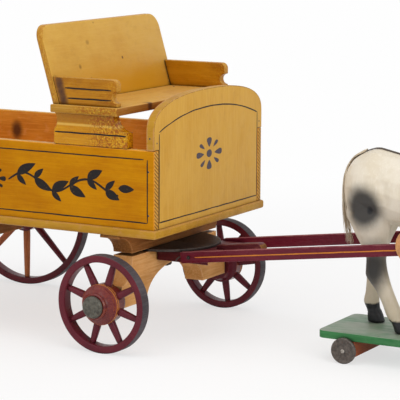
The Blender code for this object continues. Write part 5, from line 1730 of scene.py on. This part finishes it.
@dataclass(frozen=True)
class Horse:
    """The moulded horse: its body and legs as one skin, with mane, tail and glass eyes."""

    origin: Vector
    voxel: float = 0.00085
    leg_swell: float = 0.0008
    smoothing: int = 7
    rump_drawn_in: float = 0.0065
    tail_strands: int = 260
    mane_strands: int = 560
    forelock_strands: int = 60
    mane_length: Point = (0.018, 0.03)
    strand_radius: float = 0.00028
    eye_radius: float = 0.0024
    eye_flat: float = 0.0018

    def build(self) -> Skin:
        """Build and dress the horse.

        Returns:
            The skin, for the harness.
        """
        mesh = self.joined()
        self.sculpt(mesh)
        put(mesh, "horse", [self.paint()], ["horse_body", *HORSE_LEGS])
        skin = Skin(mesh)
        self.tail(skin)
        self.mane(skin)
        for side in Side:
            self.eye(side)
        return skin

    def at(self, x: float, y: float, z: float) -> Vector:
        """A place measured from the horse's own origin, in millimetres."""
        return self.origin + Vector((x, y, z)) * MM

    def joined(self) -> bpy.types.Mesh:
        """Join body and legs, with haunch and shoulder filled out, into one even skin.

        Returns:
            The skin.
        """
        bm = bmesh.new()
        for node in ("horse_body", *HORSE_LEGS):
            swell = self.leg_swell if node in HORSE_LEGS else 0.0
            part = bmesh.new()
            part.from_mesh(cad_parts[node].data)
            bmesh.ops.remove_doubles(part, verts=part.verts, dist=WELD)
            bmesh.ops.recalc_face_normals(part, faces=part.faces)
            part.normal_update()
            for vert in part.verts:
                off_floor = min(1.0, max(0.0, (vert.co.z - self.origin.z) / 0.012))
                vert.co += vert.normal * swell * off_floor
            merge(bm, part)
        for side in Side:
            for x, y, z, length, width, height in ((-56, 15, 108, 19, 11, 24), (44, 12, 97, 13, 10, 20)):
                place = Matrix.Translation(self.at(x, side.value * y, z))
                stretch = Matrix.Diagonal((length * MM, width * MM, height * MM, 1.0))
                bmesh.ops.create_icosphere(bm, subdivisions=3, radius=1.0, matrix=place @ stretch)
        mesh = bpy.data.meshes.new("horse_skin")
        bm.to_mesh(mesh)
        bm.free()
        worker = placed("horse_moulding", mesh)
        remesh = worker.modifiers.new("even_skin", "REMESH")
        remesh.mode = "VOXEL"
        remesh.voxel_size = self.voxel
        smooth = worker.modifiers.new("smoothed", "SMOOTH")
        smooth.factor = 0.5
        smooth.iterations = self.smoothing
        skin = bpy.data.meshes.new_from_object(worker.evaluated_get(bpy.context.evaluated_depsgraph_get()))
        skin.name = "horse_skin"
        bpy.data.objects.remove(worker)
        self.outer_only(skin)
        skin.polygons.foreach_set("use_smooth", [True] * len(skin.polygons))
        return skin

    @staticmethod
    def outer_only(mesh: bpy.types.Mesh) -> None:
        """Keep the largest connected skin and delete the hollows inside it.

        Args:
            mesh: The mesh.
        """
        bm = bmesh.new()
        bm.from_mesh(mesh)
        left = set(bm.verts)
        groups = []
        while left:
            front = [left.pop()]
            group = list(front)
            while front:
                vert = front.pop()
                for edge in vert.link_edges:
                    other = edge.other_vert(vert)
                    if other in left:
                        left.remove(other)
                        front.append(other)
                        group.append(other)
            groups.append(group)
        groups.sort(key=len)
        for group in groups[:-1]:
            bmesh.ops.delete(bm, geom=group, context="VERTS")
        bm.to_mesh(mesh)
        bm.free()

    def sculpt(self, mesh: bpy.types.Mesh) -> None:
        """Work the muscles, joints, jaw, nostrils, mouth, eye rims, ears and hooves.

        Args:
            mesh: The skin.
        """
        hand = Sculptor(mesh, self.origin)
        for points, radius, height in (
            ([(-60, 25, 118)], 15, 1),
            ([(-36, 28, 126), (-31, 28, 108), (-33, 23, 93)], 4.2, -1.2),
            ([(-69, 20, 106), (-64, 21, 90), (-57, 20, 76)], 3, -0.6),
            ([(-48, 22, 82)], 7, 0.8),
            ([(27, 26, 138), (40, 24, 120), (46, 20, 102)], 3.6, -1),
            ([(44, 22, 102), (52, 18, 96)], 7, 1),
            ([(18, 27, 113), (26, 24, 96)], 5, -0.8),
            ([(56, 10, 156), (54, 14, 134), (56, 15, 115)], 3, -0.8),
            ([(76, 10.4, 174)], 6.2, 1.1),
            ([(83, 9, 180), (93, 7, 167)], 2, 0.5),
            ([(86, 8.5, 172), (93, 6.4, 162)], 2, -0.6),
            ([(98.5, 5.2, 160.5)], 1.6, -1.3),
            ([(97.5, 5.4, 163.2)], 1.6, 0.5),
            ([(98.5, 3, 156), (93.5, 5.8, 157.5), (89, 6.6, 161)], 0.9, -0.8),
            ([(77, 9.6, 188)], 2.6, 0.7),
            ([(77, 10, 181.2)], 2, 0.5),
            ([(69, 7.6, 199), (69, 9.4, 205)], 1.6, -1.3),
            ([(-44, 18, 63), (-40, 18, 56)], 3, -0.5),
            ([(48, 19.5, 44)], 5, 0.4),
        ):
            hand.stroke(points, radius, height)
        hand.stroke([(64, 0, 125), (61, 0, 103)], 2.8, -0.5)
        self.draw_in_rump(hand)
        coronet = self.origin.z + 0.0082
        hand.lift(-0.0003 * np.exp(-((hand.points[:, 2] - coronet) / 0.0007) ** 2))
        hand.lift(np.array([0.00016 * noise.noise(Vector(point) / 0.014) for point in hand.points]))
        self.keep_off_straps(hand.points)
        hand.done()

    def draw_in_rump(self, hand: Sculptor) -> None:
        """Draw the rump and the thighs' rear in, so that the tail hangs clear behind them.

        Args:
            hand: The sculptor at work on the skin.
        """
        x, _, z = (hand.points - hand.origin).T
        rearward = np.clip((-0.034 - x) / 0.044, 0.0, 1.0) ** 1.4
        upward = np.clip((z - 0.05) / 0.022, 0.0, 1.0)
        hand.points[:, 0] += self.rump_drawn_in * rearward * upward * upward * (3 - 2 * upward)

    def keep_off_straps(self, points: np.ndarray) -> None:
        """Hold the skin inside the saddle and girth and above the platform.

        Args:
            points: The skin's points.
        """
        low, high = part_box("saddle_strap")
        half = (high.y - low.y) / 2 - 0.0012
        points[:, 2] = np.maximum(points[:, 2], self.origin.z + 0.0003)
        high_up = points[:, 2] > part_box("girth_strap")[0].z - 0.02
        points[high_up, 1] = np.clip(points[high_up, 1], -half, half)

    def paint(self) -> HorsePaint:
        """The horse's paint with its patches, each at its place on the body.

        Returns:
            The finish.
        """
        def patch(x: float, y: float, z: float, *radii: float, **more: float) -> Patch:
            """A patch measured from the horse's origin, in millimetres."""
            return Patch(tuple(self.at(x, y, z)), tuple(radius * MM for radius in radii), **more)

        patches = (
            patch(-49, -23, 99.5, 14.5, 18, 17, soft=0.4, strength=0.94),
            patch(-44, -26, 97, 8.5, 15, 11, soft=0.9),
            patch(-48, 24, 110, 13, 15, 11),
            patch(-42.5, -16, 52, 11, 11, 21, soft=0.5, strength=0.95),
            patch(-53, 16, 47, 7, 10, 13, soft=0.7, strength=0.6),
            patch(34, -24, 126, 11, 14, 10),
            patch(40, 23, 122, 10, 14, 12),
            patch(-8, 28, 121, 12, 12, 9),
            patch(50, -19, 50, 7, 8, 15, soft=0.8, strength=0.65),
            patch(50, 19, 50, 7, 8, 15, soft=0.8, strength=0.65),
            patch(54, -11, 160, 8, 8, 11, strength=0.75),
            patch(99, 0, 157.5, 7, 10, 6.2, strength=0.8),
        )
        floor = self.origin.z
        return HorsePaint("cream_horse", patches, floor + 0.015, floor + 0.013)

    def tail(self, skin: Skin) -> None:
        """Grow the tail: fine strands that hug the rump and hang in a wispy end.

        Args:
            skin: The horse's skin.
        """
        dice = random.Random(SEED)
        guide = curve_through([self.at(x, 0, z) for x, z in (
            (-58.5, 141.2), (-64, 140), (-70.4, 134.5), (-74.6, 123), (-76, 109), (-75.8, 95), (-74.4, 82),
            (-72.4, 71), (-70.6, 62),
        )], 4)
        bm = bmesh.new()
        for _ in range(self.tail_strands):
            aside, depth = dice.uniform(-1, 1), dice.uniform(-1, 1)
            reach = 0.58 + 0.42 * dice.random() ** 1.8
            curl = dice.uniform(-1, 1)
            path = []
            for index, point in enumerate(guide):
                share = index / (len(guide) - 1)
                if share > reach:
                    break
                spread = 0.0012 + 0.0036 * sin(pi * min(1.0, share * 1.15)) ** 0.8
                wave = 0.0013 * curl * sin(5 * share + 3 * curl) * share
                stray = 0.006 * curl * max(0.0, share - 0.5)
                place = point + Vector((depth * (0.0007 + 0.001 * share) + stray, aside * spread + wave, 0.0))
                free = min(1.0, max(0.0, (share - 0.06) / 0.4))
                path.append(skin.drape(place, 0.0008 + 0.0006 * (1 + depth), free * free * (3 - 2 * free)))
            radii = [self.strand_radius * (1 - 0.8 * (i / len(path)) ** 2) for i in range(len(path))]
            tube(bm, path, radii, 4)
        put(mesh_of("horse_tail_strands", bm, pi), "horse", [HAIR], ["horse_tail"])

    def mane(self, skin: Skin) -> None:
        """Grow the mane from the crest of the neck, falling to the right, and the forelock.

        Args:
            skin: The horse's skin.
        """
        dice = random.Random(SEED + 1)
        crest = curve_through([self.at(x, 0, z) for x, z in (
            (27, 144), (33, 153), (40, 164), (46.5, 176), (52.5, 187), (59, 196), (66, 200.5),
        )], 8)
        bm = bmesh.new()
        for index in range(self.mane_strands):
            lock = dice.random()
            root = crest[int(lock * (len(crest) - 1))]
            length = dice.uniform(*self.mane_length) * (0.65 + 0.35 * sin(pi * lock))
            way = -1 if dice.random() < 0.8 else 1
            sweep = Vector((0.34 + dice.uniform(-0.12, 0.12), 0.0, -1.0)).normalized()
            lift = dice.uniform(0.0004, 0.0014)
            path = []
            for step in range(9):
                share = step / 8
                over = way * (0.0026 + 0.0085 * share) * sin(min(1.0, share * 2.2) * pi / 2)
                wave = 0.0008 * sin(7 * share + 40 * lock)
                place = root + Vector((wave, over, 0.0012 * sin(pi * share)))
                place += sweep * length * max(0.0, share - 0.12)
                path.append(skin.drape(place, lift * (0.4 + share), 0.35 * share))
            radii = [self.strand_radius * (1 - 0.7 * (i / 8) ** 2) for i in range(9)]
            tube(bm, path, radii, 4)
        for _ in range(self.forelock_strands):
            aside, length = dice.uniform(-3.2, 3.2), dice.uniform(0.6, 1.0)
            path = []
            for step in range(7):
                share = step / 6 * length
                place = self.at(65.5 + 16.5 * share, aside * (1 - 0.5 * share), 201.5 - 15 * share)
                path.append(skin.cling(place, 0.0006 + 0.001 * sin(pi * share) * dice.random()))
            radii = [self.strand_radius * (1 - 0.7 * (i / 6) ** 2) for i in range(7)]
            tube(bm, path, radii, 4)
        put(mesh_of("horse_mane_strands", bm, pi), "horse", [HAIR], ["horse_mane"])

    def eye(self, side: Side) -> None:
        """Set a glass eye into the head.

        Args:
            side: Its side.
        """
        node = f"horse_eye_{side.word}"
        radius, flat = self.eye_radius, self.eye_flat
        low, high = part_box(node)
        out = outer_face(node, side).origin.y
        centre = Vector(((low.x + high.x) / 2, out - side.value * radius, (low.z + high.z) / 2))
        glass = EyeGlass(f"eye_glass_{side.word}", (0.0, side.value * radius, 0.0))
        bm = bmesh.new()
        bmesh.ops.create_uvsphere(bm, u_segments=32, v_segments=20, radius=radius)
        for vert in bm.verts:
            if vert.co.y * side.value > flat:
                vert.co.y = side.value * (flat + (vert.co.y * side.value - flat) * 0.85)
        put(mesh_of(node + "_polished", bm, pi), "horse", [glass], [node], centre)


@dataclass(frozen=True)
class Harness:
    """The leather on the horse: saddle, girth, back strap, tug loops and bridle."""

    skin: Skin
    origin: Vector
    thickness: float = 0.0011
    back_thickness: float = 0.0009
    bridle_thickness: float = 0.0008
    noseband_width: float = 0.0032
    crown_width: float = 0.003
    cheek_width: float = 0.0028
    bit_ring: float = 0.0024
    bit_wire: float = 0.00035
    clearance: float = 0.0003
    crupper: float = 0.005
    thread_lift: float = 0.00005
    tug_seams: float = 0.0095
    seam_foot: float = 0.0068
    seam_step: float = 0.0012
    saddle_core: float = 0.108
    back_core: float = 0.118

    def build(self) -> None:
        """Build and dress the harness."""
        self.girth()
        self.back_strap()
        self.bridle()
        for side in Side:
            refinish(f"tug_loop_{side.word}", "horse", [TAN_LEATHER], 0.0007)
            self.tug_stitches(side)

    def row(self, inside: Vector, out: Vector, width_way: Vector, width: float) -> list[tuple]:
        """The skin under one cross row of a strap, each place with the way out of the skin."""
        shares = (-1.0, -0.86, -0.4, 0.4, 0.86, 1.0)
        return [(self.skin.point(inside + width_way * width / 2 * share, out), out) for share in shares]

    def lay(
        self, name: str, rows: Sequence[Sequence[tuple]], slot: str, finish: Finish,
        closed: bool, thickness: float, nodes: Sequence[str] = (),
    ) -> None:
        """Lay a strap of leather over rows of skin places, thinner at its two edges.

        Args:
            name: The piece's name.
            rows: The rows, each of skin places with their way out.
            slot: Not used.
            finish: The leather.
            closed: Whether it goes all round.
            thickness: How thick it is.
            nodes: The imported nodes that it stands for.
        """
        bm = bmesh.new()
        rings = []
        full = (0.45, 0.9, 1.0, 1.0, 0.9, 0.45)
        for row in rows:
            under = [spot + out * self.clearance for spot, out in row]
            over = [spot + out * thickness * share for spot, (_, out), share in zip(under, row, full)]
            rings.append(under + over[::-1])
        loft(bm, rings, closed)
        put(mesh_of(name, bm, radians(50)), "horse", [finish], nodes)

    def ring_rows(self, centre: Vector, up: Vector, width: float, angles: Sequence[float]) -> list:
        """Rows of skin places round the body in one plane, an angle of 0 being the horse's left."""
        ways = [LEFT * cos(angle) + up * sin(angle) for angle in angles]
        return [self.row(centre, out, LEFT.cross(up), width) for out in ways]

    def girth(self) -> None:
        """Lay the saddle over the back and the girth under the belly, and stitch them."""
        low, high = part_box("saddle_strap")
        centre = Vector(((low.x + high.x) / 2, 0.0, self.origin.z + self.saddle_core))
        half = 48
        angles = [pi * index / half for index in range(2 * half)]
        rows = self.ring_rows(centre, UP, high.x - low.x, angles)
        for name, span, node in (
            ("saddle", rows[:half + 1], "saddle_strap"), ("girth", rows[half + 1:], "girth_strap"),
        ):
            self.lay(name + "_leather", span, "tan_leather", TAN_LEATHER, False, self.thickness, [node])
            self.stitches(name + "_stitches", span)

    def stitches(self, name: str, rows: Sequence[Sequence[tuple]]) -> None:
        """Sew a line of stitches along both edges of a strap.

        Args:
            name: The piece's name.
            rows: The strap's rows of skin places.
        """
        bm = bmesh.new()
        for column in (1, 4):
            path = [row[column][0] + row[column][1] * (self.clearance + self.thickness) for row in rows]
            self.sew(bm, path)
        put(mesh_of(name, bm), "horse", [self.thread(name + "_thread")])

    @staticmethod
    def thread(name: str) -> LinePaint:
        """Pale waxed thread."""
        return LinePaint(name, (232, 214, 176), (176, 146, 104), 0.7)

    @staticmethod
    def sew(bm: Geometry, path: Sequence[Vector], pitch: float = 0.0024) -> None:
        """Add stitches along a path, each a short thread that dips at its ends.

        Args:
            bm: The geometry that they are added to.
            path: The path.
            pitch: From one to the next.
        """
        travelled = 0.0
        for start, end in zip(path, path[1:]):
            run = end - start
            place = pitch - travelled
            while place < run.length:
                middle = start + run * (place / run.length)
                half = run.normalized() * pitch * 0.32
                tube(bm, [middle - half, middle, middle + half], [0.00006, 0.0002, 0.00006], 6)
                place += pitch
            travelled = (travelled + run.length) % pitch

    def back_strap(self) -> None:
        """Lay the thin strap from the saddle along the back to the tail."""
        low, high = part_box("back_strap")
        rows = []
        steps = 28
        rear = low.x - self.crupper
        for index in range(steps + 1):
            inside = Vector((high.x + (rear - high.x) * index / steps, 0.0, self.origin.z + self.back_core))
            rows.append(self.row(inside, UP, LEFT, high.y - low.y))
        self.lay(
            "back_strap_leather", rows, "dark_leather", DARK_LEATHER, False, self.back_thickness,
            ["back_strap"],
        )

    def bridle(self) -> None:
        """Lay a simple bridle on the head: noseband, crown, cheek straps and bit rings."""
        nose = self.origin + Vector((88.5, 0, 166.5)) * MM
        crown = self.origin + Vector((60.5, 0, 178)) * MM
        nose_up = Vector((0.78, 0.0, 0.62))
        crown_up = Vector((-0.04, 0.0, 1.0))
        crown_turns = [radians(204 * index / 30 - 12) for index in range(31)]
        straps = [
            ("noseband", self.ring_rows(nose, nose_up, self.noseband_width, circle(40)), True),
            ("crown_strap", self.ring_rows(crown, crown_up, self.crown_width, crown_turns), False),
        ]
        for side in Side:
            rows = []
            for index in range(15):
                along = Vector((60.6, 0, 177)).lerp(Vector((86.5, 0, 167)), index / 14)
                inside = self.origin + along * MM
                rows.append(self.row(inside, LEFT * side.value, Vector((0.62, 0.0, 0.78)), self.cheek_width))
            straps.append((f"cheek_strap_{side.word}", rows, False))
        for name, rows, closed in straps:
            self.lay(name, rows, "dark_leather", DARK_LEATHER, closed, self.bridle_thickness)
        self.bit_rings(nose)

    def bit_rings(self, nose: Vector) -> None:
        """Hang a small ring on each end of the noseband.

        Args:
            nose: The middle of the muzzle under the noseband.
        """
        bm = bmesh.new()
        for side in Side:
            spot = self.skin.point(nose, LEFT * side.value)
            centre = spot + Vector((0.0, side.value * 0.0018, -0.0012))
            rings = []
            for turn in circle(24):
                out = Vector((cos(turn), 0.0, sin(turn)))
                middle = centre + out * self.bit_ring
                rings.append([middle + (out * cos(a) + LEFT * sin(a)) * self.bit_wire for a in circle(8)])
            loft(bm, rings, True)
        put(mesh_of("bit_rings", bm), "horse", [STEEL])

    def tug_stitches(self, side: Side) -> None:
        """Sew two short lines of stitches on a tug loop's outer face.

        Args:
            side: The loop's side.
        """
        low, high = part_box(f"tug_loop_{side.word}")
        out = outer_face(f"tug_loop_{side.word}", side).origin.y + side.value * self.thread_lift
        bm = bmesh.new()
        middle = Vector(((low.x + high.x) / 2, out, 0.0))
        heights = [low.z + self.seam_foot + self.seam_step * index for index in range(11)]
        for aside in (-self.tug_seams, self.tug_seams):
            self.sew(bm, [middle + Vector((aside, 0.0, height)) for height in heights])
        thread = self.thread(f"tug_thread_{side.word}")
        put(mesh_of(f"tug_stitches_{side.word}", bm), "horse", [thread])


# The studio


def background_rays(tree: bpy.types.NodeTree) -> Socket:
    """A mask of the rays that see the plain background: straight, mirrored or through glass.

    Args:
        tree: The node tree that it is made in.

    Returns:
        The mask.
    """
    rays = add_node(tree, "LightPath", {}).outputs
    seen = rays["Is Camera Ray"]
    for kind in ("Is Glossy Ray", "Is Transmission Ray"):
        seen = add_node(tree, "Math", {0: seen, 1: rays[kind]}, operation="MAXIMUM").outputs[0]
    return seen


@dataclass(frozen=True)
class Studio:
    """The camera, the soft lights and the pale floor."""

    camera_place: Triple = (0.78906, -1.4085, 0.37365)
    yaw: float = 0.512
    pitch: float = 0.16
    roll: float = 0.004
    lens: float = 177.27
    floor_half: float = 12.0
    ambient: float = 0.74
    clear_near: float = 0.25
    clear_far: float = 0.9

    def build(self) -> None:
        """Set up the studio."""
        scene = bpy.context.scene
        scene.view_settings.view_transform = "Standard"
        scene.camera = self.camera()
        self.surroundings()
        self.floor()
        self.softbox("overhead", (0.1, -0.25, 1.55), (0.0, 0.0, 0.1), 1.5, 9.0)
        self.softbox("front_right", (1.5, -0.75, 0.75), (0.05, 0.0, 0.12), 0.9, 8.0)
        self.softbox("near_left", (-0.9, -1.3, 0.9), (-0.05, 0.0, 0.12), 1.0, 3.0)

    def camera(self) -> bpy.types.Object:
        """Place the camera as the photograph was taken.

        Returns:
            The camera.
        """
        ahead = Vector((-sin(self.yaw) * cos(self.pitch), cos(self.yaw) * cos(self.pitch), -sin(self.pitch)))
        level = ahead.cross(UP).normalized()
        upright = level.cross(ahead)
        right = level * cos(self.roll) + upright * sin(self.roll)
        up = upright * cos(self.roll) - level * sin(self.roll)
        data = bpy.data.cameras.new("photo_camera")
        data.lens = self.lens
        data.sensor_width = 36.0
        data.clip_end = 60.0
        camera = placed("photo_camera", data)
        turn = Matrix((right, up, -ahead)).transposed().to_4x4()
        camera.matrix_world = Matrix.Translation(Vector(self.camera_place)) @ turn
        return camera

    def softbox(self, name: str, place: tuple, aim: tuple, size: float, power: float) -> None:
        """Hang a square softbox.

        Args:
            name: Its name.
            place: Where it hangs.
            aim: The point that it faces.
            size: Its width and height.
            power: Its power in watts.
        """
        data = bpy.data.lights.new(name, "AREA")
        data.size = size
        data.energy = power
        lamp = placed(name, data)
        lamp.location = place
        lamp.rotation_euler = (Vector(aim) - Vector(place)).to_track_quat("-Z", "Y").to_euler()

    def surroundings(self) -> None:
        """Light everything evenly, and show white wherever the surroundings are seen."""
        world = bpy.data.worlds.new("white_tent")
        bpy.context.scene.world = world
        world.use_nodes = True
        tree = world.node_tree
        tree.nodes.clear()
        fill = add_node(tree, "Background", {"Strength": self.ambient}).outputs[0]
        white = add_node(tree, "Background", {"Color": (0.96, 0.96, 0.96, 1.0)}).outputs[0]
        blend = add_node(tree, "MixShader", {0: background_rays(tree), 1: fill, 2: white}).outputs[0]
        add_node(tree, "OutputWorld", {0: blend})

    def floor(self) -> None:
        """Lay the pale floor, which keeps the shadows near the toy and fades to white away from it."""
        bm = bmesh.new()
        bmesh.ops.create_grid(bm, x_segments=1, y_segments=1, size=self.floor_half)
        mesh = bpy.data.meshes.new("studio_floor")
        bm.to_mesh(mesh)
        bm.free()
        mix = Recipe("pale_paper", (247, 246, 246), 0.75, specular=0.1)
        mix.lay(mix.rise(mix.noise(0.35, detail=2.0), 0.3, 0.7), (251, 250, 250))
        mix.finish()
        distance = mix.add("VectorMath", {0: mix.place}, operation="LENGTH").outputs["Value"]
        clear = mix.rise(distance, self.clear_near, self.clear_far)
        seen = background_rays(mix.tree)
        share = mix.times(mix.sum_of("ADD", mix.times(clear, 0.35), 0.65), seen)
        glow = mix.add("Emission", {"Color": linear((254, 254, 254))}).outputs[0]
        blend = mix.add("MixShader", {0: share, 1: mix.shader.outputs[0], 2: glow}).outputs[0]
        mix.tree.links.new(blend, mix.tree.nodes["Material Output"].inputs["Surface"])
        mesh.materials.append(mix.material)
        placed("studio_floor", mesh)


def horse_origin() -> Vector:
    """The point that the horse's own places are measured from: over the tug loops, on the board."""
    low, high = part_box("saddle_strap")
    return Vector(((low.x + high.x) / 2, 0.0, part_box("platform_board")[1].z))


def main() -> None:
    """Build the toy piece by piece, then the studio round it."""
    logging.basicConfig(level=logging.INFO, format="%(name)s: %(message)s")
    WagonBox().build()
    DriversSeat().build()
    RunningGear().build()
    for end, side, angle, raw in (
        ("front", Side.RIGHT, radians(28.0), ()),
        ("front", Side.LEFT, radians(37.0), ()),
        ("rear", Side.RIGHT, 0.0, ()),
        ("rear", Side.LEFT, 0.0, (2, 3, 4)),
    ):
        WagonWheel(end, side, angle, raw).build()
    Shafts().build()
    Platform().build()
    origin = horse_origin()
    skin = Horse(origin).build()
    Harness(skin, origin).build()
    Studio().build()


if __name__ == "__main__":
    main()
